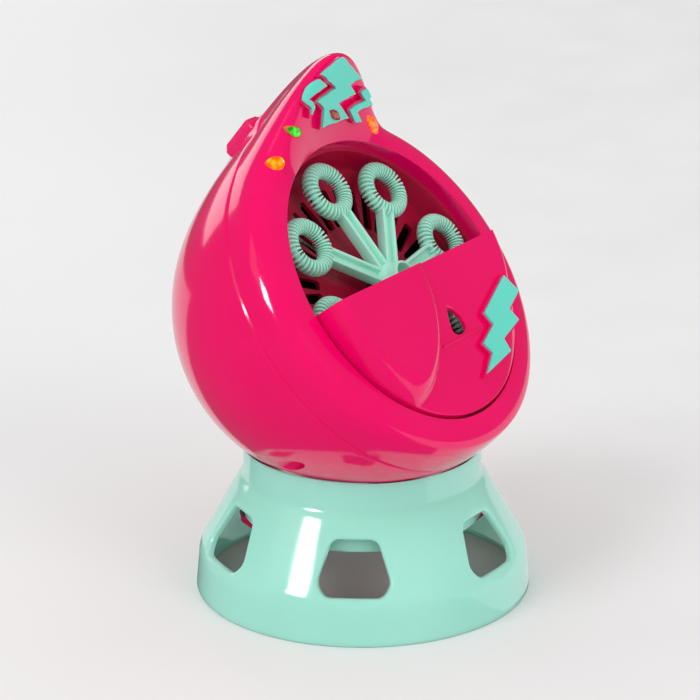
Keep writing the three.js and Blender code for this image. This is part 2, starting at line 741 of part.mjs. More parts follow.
function fanDuctGeometry() {
  const duct = tube(FAN.duct + 1.6, FAN.duct, -29, -11.9, 20);
  const arm = block([2.5, -1.5, -29], [FAN.duct + 1, 1.5, -27.4]);
  const arms = [0, 120, 240].map((angle) => arm.clone().rotateZ(rad(angle)));
  const hub = rod(5, -29, -27.4, 16);
  return cut(join(duct, hub, ...arms), rod(1.3, -31, -20, 12)).translate(0, FAN.u, 0);
}

function fanGeometry() {
  const pieces = [rod(5, -24, -17, 20), rod(1, -31, -23, 12)];
  for (let k = 0; k < 7; k++) {
    const blade = block([4, -0.6, -4], [FAN.radius, 0.6, 4]).rotateX(0.75).translate(0, 0, -20.5);
    pieces.push(blade.rotateZ((k * 2 * Math.PI) / 7));
  }
  return join(...pieces).translate(0, FAN.u, 0);
}

function motorGeometry(top, length, radius, bore) {
  return turned([
    [0, top - length - 2], [3, top - length - 2], [3, top - length], [radius, top - length],
    [radius, top - 1], [3, top - 1], [3, top], [bore, top], [bore, top - 3], [0, top - 3],
  ], 18);
}

// ---------------------------------------------------------------- batteries

function batteryBoxGeometry() {
  const outer = prism(roundedRectangle(50.6, 56.4, 2), 50.8, 67.4);
  const inner = block([-23.9, -26.8, 40], [23.9, 26.8, 66]);
  return cut(outer, inner);
}

function cellGeometry() {
  const half = BATTERY.length / 2;
  return turned([
    [0, -half], [BATTERY.radius - 1, -half], [BATTERY.radius, -half + 1], [BATTERY.radius, half - 2],
    [BATTERY.radius - 1, half - 1.2], [2.7, half - 1.2], [2.7, half], [0, half],
  ], 14).rotateX(Math.PI / 2);
}

function contactGeometry(side) {
  const y = side * 26.2;
  return block([-22.5, y - 0.25, 53], [22.5, y + 0.25, 64]);
}

const DOOR_SCREW_Y = -30.3;

function batteryDoorGeometry() {
  const plate = prism(roundedRectangle(52.4, 67.4, 4.6), 47.4, 49.4);
  const tabs = [-14, 14].map((x) => block([x - 4, 30, 48.4], [x + 4, 33.4, 51.2]));
  const boss = rod(3.3, 48, 50.6, 16).translate(0, DOOR_SCREW_Y, 0);
  const bore = rod(1.7, 44, 52, 12).translate(0, DOOR_SCREW_Y, 0);
  const counterbore = rod(2.8, 44, 49.3, 12).translate(0, DOOR_SCREW_Y, 0);
  return cut(join(plate, ...tabs, boss), bore, counterbore);
}

function screwGeometry(headRadius, headHeight, shaftRadius, length) {
  const body = turned([
    [0, -headHeight], [headRadius - 0.5, -headHeight], [headRadius, -headHeight + 0.5], [headRadius, 0],
    [shaftRadius, 0], [shaftRadius, length - 1], [0, length],
  ], 12);
  const reach = headRadius * 0.6;
  const slot = block([-reach, -0.35, -headHeight - 1], [reach, 0.35, -headHeight + 0.9]);
  return cut(body, slot, slot.clone().rotateZ(Math.PI / 2));
}

// ---------------------------------------------------------------- switch and electronics

function buttonGeometry() {
  const cap = prism(roundedRectangle(BUTTON.width, BUTTON.length, 2), -6, 1.8);
  const crown = prism(roundedRectangle(BUTTON.width - 2, BUTTON.length - 2, 1.6), 1.5, 2.6);
  const ridge = prism(roundedRectangle(BUTTON.width - 5, BUTTON.length - 5, 1.2), 2.3, 3.4);
  const stem = rod(1.6, -9.6, -5, 10);
  const flange = prism(roundedRectangle(BUTTON.width - 1, BUTTON.length - 1, 1.6), -7, -5.5);
  return join(cap, crown, ridge, stem, flange);
}

function switchGeometry() {
  const body = block([-4, -6, -20], [4, 6, -13.2]);
  return cut(body, rod(2, -16.5, -12, 10));
}

// ---------------------------------------------------------------- assembly

const machine = new THREE.Group();
const stand = new THREE.Group();
stand.position.y = STAND_Y;
stand.add(head);
machine.add(stand);

function place(parent, name, geometry, material, matrix) {
  const mesh = new THREE.Mesh(closed(geometry), material);
  mesh.name = name;
  if (matrix) mesh.applyMatrix4(matrix);
  parent.add(mesh);
  return mesh;
}

function at(x, y, z) {
  return new THREE.Matrix4().makeTranslation(x, y, z);
}

place(stand, 'base_stand', standGeometry(), MINT);

place(head, 'back_shell', backShellGeometry(), PINK);
place(head, 'front_shell', frontShellGeometry(), PINK);
SHELL_SCREWS.forEach((spot, k) => {
  const { x, y } = shellScrewPlace(spot);
  place(head, `shell_screw_${k + 1}`, screwGeometry(3, 2, 1.3, 5.5), STEEL, at(x, y, SCREW_SEAT - GAP));
});

place(head, 'hood_bolt', cut(emblemPlate(HOOD_BOLT), gemHole(RED_GEM, -8, 6)), TEAL);
place(head, 'hood_spark_left', emblemPlate(HOOD_SPARK_LEFT), TEAL);
place(head, 'hood_spark_right', emblemPlate(HOOD_SPARK_RIGHT), TEAL);
for (const [name, gem] of Object.entries({ ...GEMS, red: RED_GEM })) {
  const spot = onFront(gem.beta, gem.t, gem.spin);
  const [back, front] = name === 'red' ? [-1.5, 2.6] : [-2.6, 0.6];
  const stone = gemGeometry(gem.length, gem.width, back, front);
  place(head, `gem_${name}`, stone, plastic(gem.color, 0.1), spot);
  place(head, `led_${name}`, ledGeometry().translate(0, 0, -2.2), plastic(gem.color, 0.2), spot);
}

place(head, 'wand_chamber', chamberGeometry(), DARK_PINK);
place(head, 'tank_cover', tankCoverGeometry(), PINK);
place(head, 'cover_bolt', coverBoltGeometry(), TEAL);

const onWheelAxis = at(0, WHEEL.u, 0);
const onFirstPin = at(GEAR_A.x, GEAR_A.y, 0);
const onSecondPin = at(GEAR_B.x, GEAR_B.y, 0);
const onMotorAxis = at(PINION.x, PINION.y, 0);
const firstGear = compoundGearGeometry(toothA, LEVELS.output, LEVELS.first);
const secondGear = compoundGearGeometry(toothB, LEVELS.first, LEVELS.second);
place(head, 'wand_wheel', wandWheelGeometry(), MINT, at(0, WHEEL.u, WHEEL.d));
place(head, 'wheel_shaft', rod(1.7, -18.5, 11.4, 16), STEEL, onWheelAxis);
place(head, 'shaft_seal', sealGeometry(), RUBBER, onWheelAxis);
place(head, 'output_gear', outputGearGeometry(), WHITE_PLASTIC, onWheelAxis);
place(head, 'first_gear', firstGear, WHITE_PLASTIC, onFirstPin);
place(head, 'second_gear', secondGear, WHITE_PLASTIC, onSecondPin);
place(head, 'motor_pinion', pinionGeometry(), BRASS, onMotorAxis);
place(head, 'first_gear_pin', gearPinGeometry(-12.2), STEEL, onFirstPin);
place(head, 'second_gear_pin', gearPinGeometry(LEVELS.output[0] - 2 * GAP), STEEL, onSecondPin);
place(head, 'gear_plate', gearPlateGeometry(), BLACK_PLASTIC);
place(head, 'wheel_motor', motorGeometry(-31.7, 21, 10, 1.6), STEEL, onMotorAxis);

place(head, 'air_chest', airChestGeometry(), DARK_PINK);
place(head, 'fan_duct', fanDuctGeometry(), BLACK_PLASTIC);
place(head, 'fan_impeller', fanGeometry(), WHITE_PLASTIC);
place(head, 'fan_motor', motorGeometry(-29.3, 20, 11, 1.4), STEEL, at(0, FAN.u, 0));

place(stand, 'battery_box', batteryBoxGeometry(), BLACK_PLASTIC);
for (let k = 0; k < 3; k++) {
  const cell = cellGeometry().rotateZ(k % 2 ? Math.PI : 0);
  place(stand, `battery_cell_${k + 1}`, cell, STEEL, at((k - 1) * BATTERY.pitch, 0, BATTERY.z));
}
place(stand, 'battery_contact_front', contactGeometry(-1), BRASS);
place(stand, 'battery_contact_rear', contactGeometry(1), BRASS);
place(stand, 'battery_door', batteryDoorGeometry(), PINK);
place(stand, 'door_screw', screwGeometry(2.4, 1.2, 1.3, 4), STEEL, at(0, DOOR_SCREW_Y, 49));

place(head, 'power_button', buttonGeometry(), PINK, buttonFrame);
place(head, 'power_switch', switchGeometry(), BLACK_PLASTIC, buttonFrame);
place(head, 'control_board', block([-22, -20, -62.6], [22, 4, -61]), CIRCUIT_GREEN);
place(head, 'led_board', block([-15, 68, 12.6], [15, 77, 14.2]), CIRCUIT_GREEN);
const batteryWirePath = [[18, -38, -42], [30, -30, -44], [34, -12, -54], [26, -8, -66], [6, -8, -66.2]];
const switchWirePath = [[3, 4.4, -64.6], [3, 30, -62], [2, 52, -54], [0, 63, -34], [0, 66, -22]];
place(head, 'battery_wire', wire(batteryWirePath, WIRE_RADIUS), RUBBER);
place(head, 'switch_wire', wire(switchWirePath, WIRE_RADIUS), RUBBER);

export default machine;
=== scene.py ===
"""Looks for the bubble machine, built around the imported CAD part.

Shapes are written in millimetres, in the frame of the piece they belong to (the upright
stand or the tilted head), and turned into metres when their mesh is made.
"""

import json
import math

import bmesh
import bpy
import numpy as np
from mathutils import Matrix, Vector


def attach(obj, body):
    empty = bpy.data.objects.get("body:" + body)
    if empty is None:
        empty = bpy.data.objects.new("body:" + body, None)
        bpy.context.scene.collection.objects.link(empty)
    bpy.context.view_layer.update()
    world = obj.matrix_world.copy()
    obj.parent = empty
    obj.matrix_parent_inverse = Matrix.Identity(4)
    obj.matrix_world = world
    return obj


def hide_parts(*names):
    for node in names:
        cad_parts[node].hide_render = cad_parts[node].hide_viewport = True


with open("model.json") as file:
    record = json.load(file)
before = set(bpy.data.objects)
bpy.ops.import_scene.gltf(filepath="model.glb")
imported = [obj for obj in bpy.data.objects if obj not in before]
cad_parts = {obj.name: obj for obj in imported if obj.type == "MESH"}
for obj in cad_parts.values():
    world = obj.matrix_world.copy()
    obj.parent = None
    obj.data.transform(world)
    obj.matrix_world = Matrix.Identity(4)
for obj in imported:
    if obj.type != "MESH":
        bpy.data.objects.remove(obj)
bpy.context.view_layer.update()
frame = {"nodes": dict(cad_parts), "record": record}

# ---------------------------------------------------------------- driving dimensions, mm

STAND_AXIS_Y = -4.36
FACE_TILT = math.radians(36.5)
SEAM_CENTRE = Vector((0, STAND_AXIS_Y - 6.25, 126.4))

WINDOW_COUNT = 6

# The globe: its radius at the seam, its depth behind the seam, and how far its back shifts up.
GLOBE_RADIUS = 78
GLOBE_DEPTH = 87
GLOBE_RISE = 2.5
SHELL_WALL = 2.4
# The keel's height over the globe at the seam, where it meets the hood, and the hood's reach
# to each side in degrees.
KEEL_HEIGHT = 11.3
HOOD_SPREAD = 40
COLLAR_REACH = 80.3
SEAM_GAP = 0.15
MOUTH_RADIUS = 62.4
MOUTH_FLOOR = 11.6

CHAMBER_FLOOR = 0.8
WHEEL = {"u": 1.35, "d": 10.9, "pitch": 45, "ring": 9.3, "tube": 3.4, "count": 8, "phase": 8.2}
COVER = {"radius": 61.2, "top": 1.5, "face": 27, "lean": 0.124, "wall": 2}
BULGE = {"x": -47.1, "u": -1.5, "inner": 41.6, "outer": 47.6, "height": 4.3}
BUTTON = {"u": 84.9, "d": -16, "lean": 14, "width": 10.6, "length": 19.6}
# Shell screws: (angle about the face in degrees, distance from its middle).
SHELL_SCREWS = [(128, 69.5), (-128, 69.5), (26, 66.5), (-26, 66.5)]
SCREW_WELL = {"radius": 5.2, "counterbore": 3.6, "hole": 1.8, "seat": -7, "end": -1.2}
NECK = {"width": 57, "length": 72, "corner": 7, "wall": 2, "low": 47.4, "high": 60}
NECK_HOLE = (40, 70)
SHAFT_HOLE_RADIUS = 3.2

COLUMN_COUNT = 360

STAND = Matrix.Translation((0, STAND_AXIS_Y, 0))
HEAD = Matrix.Translation(SEAM_CENTRE) @ Matrix.Rotation(math.pi / 2 - FACE_TILT, 4, "X")
TO_METRES = Matrix.Scale(0.001, 4)


# ---------------------------------------------------------------- materials

def srgb(red, green, blue):
    """A colour given as 0 to 255 screen values, as linear light."""
    parts = [c / 255 for c in (red, green, blue)]
    linear = [c / 12.92 if c <= 0.04045 else ((c + 0.055) / 1.055) ** 2.4 for c in parts]
    return (*linear, 1.0)


class Nodes:
    """A material under construction, with short ways to add and join its nodes."""

    def __init__(self, name):
        self.material = bpy.data.materials.new(name)
        self.material.use_nodes = True
        self.tree = self.material.node_tree
        self.surface = self.tree.nodes["Principled BSDF"]
        self.place = self.add("ShaderNodeTexCoord").outputs["Object"]

    def add(self, kind, **values):
        node = self.tree.nodes.new(kind)
        for key, value in values.items():
            if key in node.inputs:
                node.inputs[key].default_value = value
            else:
                setattr(node, key, value)
        return node

    def join(self, output, target):
        self.tree.links.new(output, target)

    def noise(self, scale, detail=2.0):
        node = self.add("ShaderNodeTexNoise")
        node.inputs["Scale"].default_value = scale
        node.inputs["Detail"].default_value = detail
        self.join(self.place, node.inputs["Vector"])
        return node.outputs["Fac"]

    def remap(self, value, low, high):
        node = self.add("ShaderNodeMapRange")
        node.inputs["From Min"].default_value = 0.3
        node.inputs["From Max"].default_value = 0.7
        node.inputs["To Min"].default_value = low
        node.inputs["To Max"].default_value = high
        self.join(value, node.inputs["Value"])
        return node.outputs["Result"]

    def blend(self, value, first, second):
        node = self.add("ShaderNodeValToRGB")
        node.color_ramp.elements[0].position = 0.3
        node.color_ramp.elements[0].color = first
        node.color_ramp.elements[1].position = 0.7
        node.color_ramp.elements[1].color = second
        self.join(value, node.inputs["Fac"])
        return node.outputs["Color"]

    def bump(self, value, strength, distance=0.0001):
        node = self.add("ShaderNodeBump")
        node.inputs["Strength"].default_value = strength
        node.inputs["Distance"].default_value = distance
        self.join(value, node.inputs["Height"])
        self.join(node.outputs["Normal"], self.surface.inputs["Normal"])

    def set(self, **values):
        for key, value in values.items():
            self.surface.inputs[key.replace("_", " ")].default_value = value
        return self


def moulded_plastic(name, light, dark, roughness, coat=0.0, subsurface=0.0, grain=0.05):
    """Moulded plastic: slightly uneven colour and polish, and a faint surface wave."""
    m = Nodes(name)
    m.join(m.blend(m.noise(18), dark, light), m.surface.inputs["Base Color"])
    m.join(m.remap(m.noise(60, 4), roughness * 0.85, roughness * 1.2), m.surface.inputs["Roughness"])
    m.bump(m.noise(90), grain)
    m.set(Coat_Weight=coat, Coat_Roughness=0.04, Subsurface_Weight=subsurface)
    m.surface.inputs["Subsurface Radius"].default_value = (1.0, 0.7, 0.6)
    m.surface.inputs["Subsurface Scale"].default_value = 0.003
    return m.material


def pink_shell():
    return moulded_plastic("pink_shell", srgb(246, 0, 104), srgb(240, 0, 98), 0.12, coat=0.35)


def pink_button():
    return moulded_plastic("pink_button", srgb(246, 20, 112), srgb(240, 14, 104), 0.24)


# A darker copy of the shell's pink: painted shade for the bowl deep in the mouth.
def shaded_chamber_pink():
    return moulded_plastic("wand_chamber_pink", srgb(186, 8, 62), srgb(172, 4, 52), 0.3)


def mint_stand():
    m = Nodes("mint_stand")
    m.join(m.blend(m.noise(14), srgb(162, 232, 211), srgb(172, 239, 219)), m.surface.inputs["Base Color"])
    m.join(m.remap(m.noise(50, 3), 0.1, 0.16), m.surface.inputs["Roughness"])
    m.bump(m.noise(70), 0.05)
    m.set(Coat_Weight=0.4, Coat_Roughness=0.04, Subsurface_Weight=0.4)
    m.surface.inputs["Subsurface Radius"].default_value = (0.6, 1.0, 0.85)
    m.surface.inputs["Subsurface Scale"].default_value = 0.007
    return m.material


def mint_wheel():
    return moulded_plastic("mint_wheel", srgb(182, 244, 225), srgb(172, 238, 217), 0.32, subsurface=0.25)


def teal_emblem():
    return moulded_plastic("teal_emblem", srgb(104, 226, 206), srgb(98, 219, 199), 0.42, grain=0.12)


def lit_gem(name, rim, heart, strength):
    """A clear tinted stone with a lamp behind it: its heart shines, its rim stays deep."""
    m = Nodes(name)
    facets = m.add("ShaderNodeTexVoronoi")
    facets.inputs["Scale"].default_value = 420
    m.join(m.place, facets.inputs["Vector"])
    glow = m.blend(facets.outputs["Distance"], heart, rim)
    m.set(Base_Color=rim)
    m.join(glow, m.surface.inputs["Emission Color"])
    m.join(m.remap(m.noise(500), 0.04, 0.12), m.surface.inputs["Roughness"])
    m.set(Emission_Strength=strength, Coat_Weight=1.0)
    return m.material


def green_gem():
    return lit_gem("green_gem", srgb(0, 120, 10), srgb(80, 255, 50), 0.9)


def amber_gem():
    return lit_gem("amber_gem", srgb(235, 80, 0), srgb(255, 190, 20), 0.9)


def orange_gem():
    return lit_gem("orange_gem", srgb(240, 50, 5), srgb(255, 150, 20), 0.9)


def red_gem():
    return lit_gem("red_gem", srgb(140, 0, 16), srgb(240, 70, 70), 0.25)


def lamp():
    return moulded_plastic("lamp", srgb(255, 240, 210), srgb(250, 225, 180), 0.1)


def bezel():
    return moulded_plastic("bezel", srgb(214, 140, 60), srgb(198, 120, 52), 0.3)


def steel():
    m = Nodes("steel")
    m.join(m.blend(m.noise(40), srgb(190, 193, 196), srgb(172, 175, 179)), m.surface.inputs["Base Color"])
    m.join(m.remap(m.noise(300, 6), 0.25, 0.45), m.surface.inputs["Roughness"])
    m.set(Metallic=1.0)
    return m.material


def brass():
    m = Nodes("brass")
    m.join(m.blend(m.noise(40), srgb(205, 165, 80), srgb(188, 148, 66)), m.surface.inputs["Base Color"])
    m.join(m.remap(m.noise(300, 6), 0.25, 0.45), m.surface.inputs["Roughness"])
    m.set(Metallic=1.0)
    return m.material


def white_gear():
    return moulded_plastic("white_gear", srgb(236, 234, 226), srgb(226, 223, 214), 0.45)


def black_plastic():
    return moulded_plastic("black_plastic", srgb(26, 26, 28), srgb(18, 18, 20), 0.55)


def circuit_board():
    return moulded_plastic("circuit_board", srgb(34, 110, 60), srgb(26, 92, 48), 0.4)


def rubber():
    return moulded_plastic("rubber", srgb(36, 36, 38), srgb(28, 28, 30), 0.8)


MATERIALS = {
    maker.__name__: maker()
    for maker in (
        pink_shell, pink_button, mint_stand, mint_wheel, teal_emblem, green_gem, amber_gem,
        orange_gem, red_gem, lamp, bezel, steel, brass, white_gear, black_plastic, circuit_board,
        rubber,
    )
}
# The chamber's darker pink is painted shade.
MATERIALS["wand_chamber_pink"] = shaded_chamber_pink()


# ---------------------------------------------------------------- mesh helpers

def rotation(degrees, axis):
    return Matrix.Rotation(math.radians(degrees), 4, axis)


def mesh_object(name, points, faces, placement):
    """An object from points in millimetres and faces, turned into the row frame."""
    mesh = bpy.data.meshes.new(name)
    mesh.from_pydata([tuple(p) for p in points], [], faces)
    mesh.transform(TO_METRES @ placement)
    obj = bpy.data.objects.new(name, mesh)
    bpy.context.scene.collection.objects.link(obj)
    return obj


def tidy(obj):
    """Merges doubled points, drops bare edges and turns every face outward."""
    bm = bmesh.new()
    bm.from_mesh(obj.data)
    bmesh.ops.remove_doubles(bm, verts=bm.verts, dist=2e-6)
    bmesh.ops.dissolve_degenerate(bm, edges=bm.edges, dist=1e-7)
    bare = [edge for edge in bm.edges if not edge.link_faces]
    bmesh.ops.delete(bm, geom=bare, context="EDGES")
    bmesh.ops.recalc_face_normals(bm, faces=bm.faces)
    if bm.calc_volume(signed=True) < 0:
        bmesh.ops.reverse_faces(bm, faces=bm.faces)
    bm.to_mesh(obj.data)
    bm.free()
    return obj


def grid_faces(rows, columns, wrap_rows=False, wrap_columns=True):
    faces = []
    for j in range(rows if wrap_rows else rows - 1):
        for i in range(columns if wrap_columns else columns - 1):
            k, n = (j + 1) % rows, (i + 1) % columns
            faces.append((j * columns + i, j * columns + n, k * columns + n, k * columns + i))
    return faces


def loft(name, rows, placement, closed=False):
    """A skin over rings of points, one ring after the other; ends stay open unless closed."""
    rings = np.array(rows, float)
    count, columns = rings.shape[:2]
    return tidy(mesh_object(name, rings.reshape(-1, 3), grid_faces(count, columns, closed), placement))


def capped_loft(name, rows, placement):
    """A solid over rings of points, with a flat face on its first and last ring."""
    rings = np.array(rows, float)
    count, columns = rings.shape[:2]
    faces = grid_faces(count, columns)
    faces.append(tuple(range(columns)))
    faces.append(tuple((count - 1) * columns + i for i in range(columns)))
    return tidy(mesh_object(name, rings.reshape(-1, 3), faces, placement))


def turned(name, profile, placement, segments=96):
    """A turned solid about Z from a closed outline of [radius, z] points."""
    angles = np.linspace(0, 2 * math.pi, segments, endpoint=False)
    rows = [[(r * math.cos(a), r * math.sin(a), z) for a in angles] for r, z in profile]
    return loft(name, rows, placement, closed=True)


def apply_modifier(obj, modifier):
    with bpy.context.temp_override(object=obj, active_object=obj, selected_objects=[obj]):
        bpy.ops.object.modifier_apply(modifier=modifier.name)


def combine(obj, other, operation):
    """Joins, cuts or keeps the common part of two closed solids; the other is used up."""
    modifier = obj.modifiers.new("combine", "BOOLEAN")
    modifier.operation = operation
    modifier.solver = "MANIFOLD"
    modifier.object = other
    apply_modifier(obj, modifier)
    bpy.data.objects.remove(other)
    return obj


def weld(obj):
    """Joins the faces of a mesh whose points are doubled along every edge."""
    modifier = obj.modifiers.new("weld", "WELD")
    modifier.merge_threshold = 2e-6
    return obj


def soften(obj, width, segments=3, angle=35):
    """Rounds every edge sharper than the angle; width in millimetres."""
    modifier = obj.modifiers.new("soften", "BEVEL")
    modifier.width = width * 0.001
    modifier.segments = segments
    modifier.limit_method = "ANGLE"
    modifier.angle_limit = math.radians(angle)
    modifier.harden_normals = True
    return obj


def shade(obj, angle=35):
    obj.data.polygons.foreach_set("use_smooth", [True] * len(obj.data.polygons))
    obj.data.set_sharp_from_angle(angle=math.radians(angle))


def finish_piece(obj, slot, body="housing", replaces=(), material=None, angle=35):
    """Gives a piece its material, its body, and the CAD nodes it stands for."""
    shade(obj, angle)
    obj.data.materials.clear()
    obj.data.materials.append(MATERIALS[material or slot])
    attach(obj, body)
    if replaces:
        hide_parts(*replaces)
    return obj


# ---------------------------------------------------------------- outlines

def rounded_outline(points, radius, steps=5):
    """A closed outline with each corner replaced by a short smooth curve."""
    corners = [Vector(p) for p in points]
    result = []
    for i, corner in enumerate(corners):
        before = corners[i - 1] - corner
        after = corners[(i + 1) % len(corners)] - corner
        reach = min(radius, before.length * 0.45, after.length * 0.45)
        start = corner + before.normalized() * reach
        end = corner + after.normalized() * reach
        for k in range(steps + 1):
            s = k / steps
            result.append(start * (1 - s) ** 2 + corner * 2 * s * (1 - s) + end * s ** 2)
    return result


def grown_outline(points, margin):
    """An outline moved outward by a margin, corner by corner."""
    corners = [Vector(p) for p in points]
    count = len(corners)
    area = sum(corners[i - 1].cross(corners[i]) for i in range(count))
    side = 1 if area > 0 else -1
    result = []
    for i, corner in enumerate(corners):
        before = (corner - corners[i - 1]).normalized()
        after = (corners[(i + 1) % count] - corner).normalized()
        normal = Vector((before.y + after.y, -before.x - after.x)).normalized()
        stretch = 1 / max(0.45, normal.dot(Vector((after.y, -after.x))))
        result.append(corner + normal * margin * side * stretch)
    return result


def rounded_rectangle(width, length, radius, steps=6):
    w, h = width / 2, length / 2
    return rounded_outline([(w, -h), (w, h), (-w, h), (-w, -h)], radius, steps)


def flat_prism(name, outline, low, high, placement):
    """A straight solid along Z with the given outline."""
    points = [(p[0], p[1], z) for z in (low, high) for p in outline]
    count = len(outline)
    faces = [(i, (i + 1) % count, count + (i + 1) % count, count + i) for i in range(count)]
    faces.append(tuple(range(count)))
    faces.append(tuple(count + i for i in range(count)))
    return tidy(mesh_object(name, points, faces, placement))


# ---------------------------------------------------------------- globe surface

def hood_bump(beta):
    """1 on the ridge, falling to 0 where the hood ends; beta in degrees from the top."""
    return np.cos(np.pi / 2 * np.minimum(np.abs(beta) / HOOD_SPREAD, 1)) ** 2.2


def keel_bump(beta, width):
    return 0.55 * np.exp(-((beta / width) ** 2)) + 0.45 * hood_bump(beta) ** 1.15


def smoothstep(x, low, high):
    s = np.clip((x - low) / (high - low), 0, 1)
    return s * s * (3 - 2 * s)


HEAD_ARRAY = np.array(HEAD)
HEAD_INVERSE = np.array(HEAD.inverted())


def tuck_into_collar(points, inset):
    """Draws the lower globe in so that it meets the round collar of the stand."""
    p = points @ HEAD_ARRAY[:3, :3].T + HEAD_ARRAY[:3, 3]
    below = SEAM_CENTRE.z - p[..., 2]
    pull = 1 - smoothstep(p[..., 2], 64, 104)
    across = p[..., 0]
    along = p[..., 1] - STAND_AXIS_Y
    limit = np.sqrt(np.maximum((COLLAR_REACH - inset) ** 2 - below ** 2, 0))
    radius = np.hypot(across, along)
    wide = (below > 0) & (limit > 0) & (radius > limit)
    scale = np.where(wide, 1 - pull * (1 - limit / np.maximum(radius, 1e-6)), 1)
    p[..., 0] = across * scale
    p[..., 1] = along * scale + STAND_AXIS_Y
    return p @ HEAD_INVERSE[:3, :3].T + HEAD_INVERSE[:3, 3]


def head_points(beta, r, d, rise=0, inset=0):
    """Points of the head from an angle about the face, a radius and a depth."""
    a = np.radians(beta)
    x = r * np.sin(a)
    return tuck_into_collar(np.stack([x, r * np.cos(a) + rise, d + 0 * x], -1), inset)


def back_points(beta, phi, inset=0.0):
    """The globe behind the seam; phi runs from 0 at the seam to 90 at the back."""
    depth = (GLOBE_DEPTH - inset) * math.sin(math.radians(phi)) + SEAM_GAP
    fade = 1 - smoothstep(depth, -12, 58)
    keel = KEEL_HEIGHT * fade * keel_bump(beta, 5 + depth * 0.14)
    r = (GLOBE_RADIUS - inset + keel) * math.cos(math.radians(phi))
    return head_points(beta, r, -depth, GLOBE_RISE * depth / GLOBE_DEPTH, inset)


# Control polygons of the front shell, from the seam to the mouth: [radius, depth]. The rim ones
# hold all round, the hood ones on the ridge; the inside ones are the lining of the shell.
RIM = np.array([
    [78, 0.15], [78, 7], [77, 12], [74, 15.8],
    [70.5, 17.3], [67.5, 17.8], [65, 18], [62.6, 18],
])
HOOD = np.array([
    [88.4, 0.15], [91.2, 13], [93.6, 30], [92.8, 41],
    [90.4, 45.4], [87.2, 42.2], [75, 30.6], [62.6, 18],
])
RIM_INSIDE = np.array([
    [75.6, 0.15], [75.6, 6.5], [74.8, 10.5], [72.4, 13.6],
    [69.8, 15], [67.5, 15.5], [66, 15.6], [64.6, 15.6],
])
HOOD_INSIDE = np.array([
    [86, 0.15], [88.6, 13], [90.6, 29], [90, 38.6],
    [88.6, 41.2], [85.2, 38.4], [75.6, 28.4], [64.6, 15.6],
])


def front_section(beta, t, rim, hood):
    """[radius, depth] of the front shell, by angle and by share of the way to the mouth."""
    bump = hood_bump(beta)
    keel = keel_bump(beta, 5)
    controls = []
    for k in range(len(rim)):
        share = min(k / 3, 1)
        w = keel * (1 - share) + bump * share
        r = rim[k, 0] + (hood[k, 0] - rim[k, 0]) * w
        d = rim[k, 1] + (hood[k, 1] - rim[k, 1]) * w ** 1.1
        controls.append(np.stack([r, d], -1))
    knots = [controls[0], controls[0], *controls, controls[-1], controls[-1]]
    spans = len(knots) - 3
    i = min(int(t * spans), spans - 1)
    s = t * spans - i
    weights = ((1 - s) ** 3, 3 * s ** 3 - 6 * s ** 2 + 4, -3 * s ** 3 + 3 * s ** 2 + 3 * s + 1, s ** 3)
    return sum(w / 6 * knots[i + k] for k, w in enumerate(weights))


def front_points(beta, t, rim=RIM, hood=HOOD):
    section = front_section(beta, t, rim, hood)
    return head_points(beta, section[..., 0], section[..., 1])


def front_frame(beta, t):
    """Place, sideways, downward and outward directions on the front shell's skin."""
    def point(b, s):
        return Vector(front_points(np.array([float(b)]), s)[0])
    here = point(beta, t)
    down = (point(beta, t + 0.004) - point(beta, t - 0.004)).normalized()
    side = point(beta + 0.5, t) - point(beta - 0.5, t)
    side = (side - down * side.dot(down)).normalized()
    outward = side.cross(-down).normalized()
    return here, side, down, outward


# ---------------------------------------------------------------- stand

def stand_profile():
    """The stand's wall, up the outside and down the inside past the skirt: [radius, z]."""
    outer = [(69.2, 0), (69.8, 0.25), (70, 0.9), (69.9, 2.5), (69.1, 11), (68.7, 15.6)]
    outer += [(68.3, 17.6), (67.6, 19.4), (66.2, 22), (60, 33.1), (53.6, 44.5), (52.3, 46.9)]
    outer += [(51.3, 48.5), (50.4, 49.6), (49.9, 50.6), (49.6, 52), (49.6, 60)]
    outer += [(49.55, 62.4), (49.2, 62.95)]
    inner = [(47.8, 63.1), (47.4, 62.7), (47.3, 61.8), (47.3, 50.6), (48, 48.6)]
    skirt = [(48, 33.6), (48.4, 33.05), (49.5, 33), (50, 33.5), (50, 45), (51.5, 42.6)]
    foot = [(57.6, 31.8), (64, 20.4), (66.1, 17.1), (67.3, 8), (67.7, 0.6), (68, 0)]
    return outer + inner + skirt + foot


def wall_radius(z):
    """Outer radius of the stand's sloping wall at a height."""
    heights = (0, 15.6, 17.6, 19.4, 22, 33.1, 44.5)
    radii = (70, 68.7, 68.3, 67.6, 66.2, 60, 53.6)
    return float(np.interp(z, heights, radii))


# A window of the stand, seen straight on: [across, height].
WINDOW_EDGE = [(-9.4, 40.6), (9.4, 40.6), (15.6, 24.4), (12.2, 19.8), (-12.2, 19.8), (-15.6, 24.4)]
WINDOW_CORNER = 3.6


def window_cutter(index):
    """A tapered cutter that follows the wall, so that the window's outer edge is rounded."""
    levels = [(-5, 0), (-1.5, 0), (-1, 0.1), (-0.6, 0.3), (-0.3, 0.6)]
    levels += [(-0.1, 1), (0.05, 1.5), (1.2, 4.2), (9, 4.2)]
    rows = []
    for depth, growth in levels:
        edge = rounded_outline(grown_outline(WINDOW_EDGE, growth), WINDOW_CORNER + growth, 6)
        row = []
        for p in edge:
            r = wall_radius(p.y) + depth
            angle = p.x / wall_radius(p.y)
            row.append((r * math.sin(angle), -r * math.cos(angle), p.y + 0.2 * depth))
        rows.append(row)
    turn = rotation(index * 360 / WINDOW_COUNT, "Z")
    return capped_loft("window_cutter", rows, STAND @ turn)


def build_stand():
    stand = turned("stand_body", stand_profile(), STAND, 192)
    for index in range(WINDOW_COUNT):
        combine(stand, window_cutter(index), "DIFFERENCE")
    combine(stand, globe_solid(-0.5), "DIFFERENCE")
    finish_piece(tidy(stand), "mint_stand", replaces=["base_stand"], angle=30)


# ---------------------------------------------------------------- globe shells

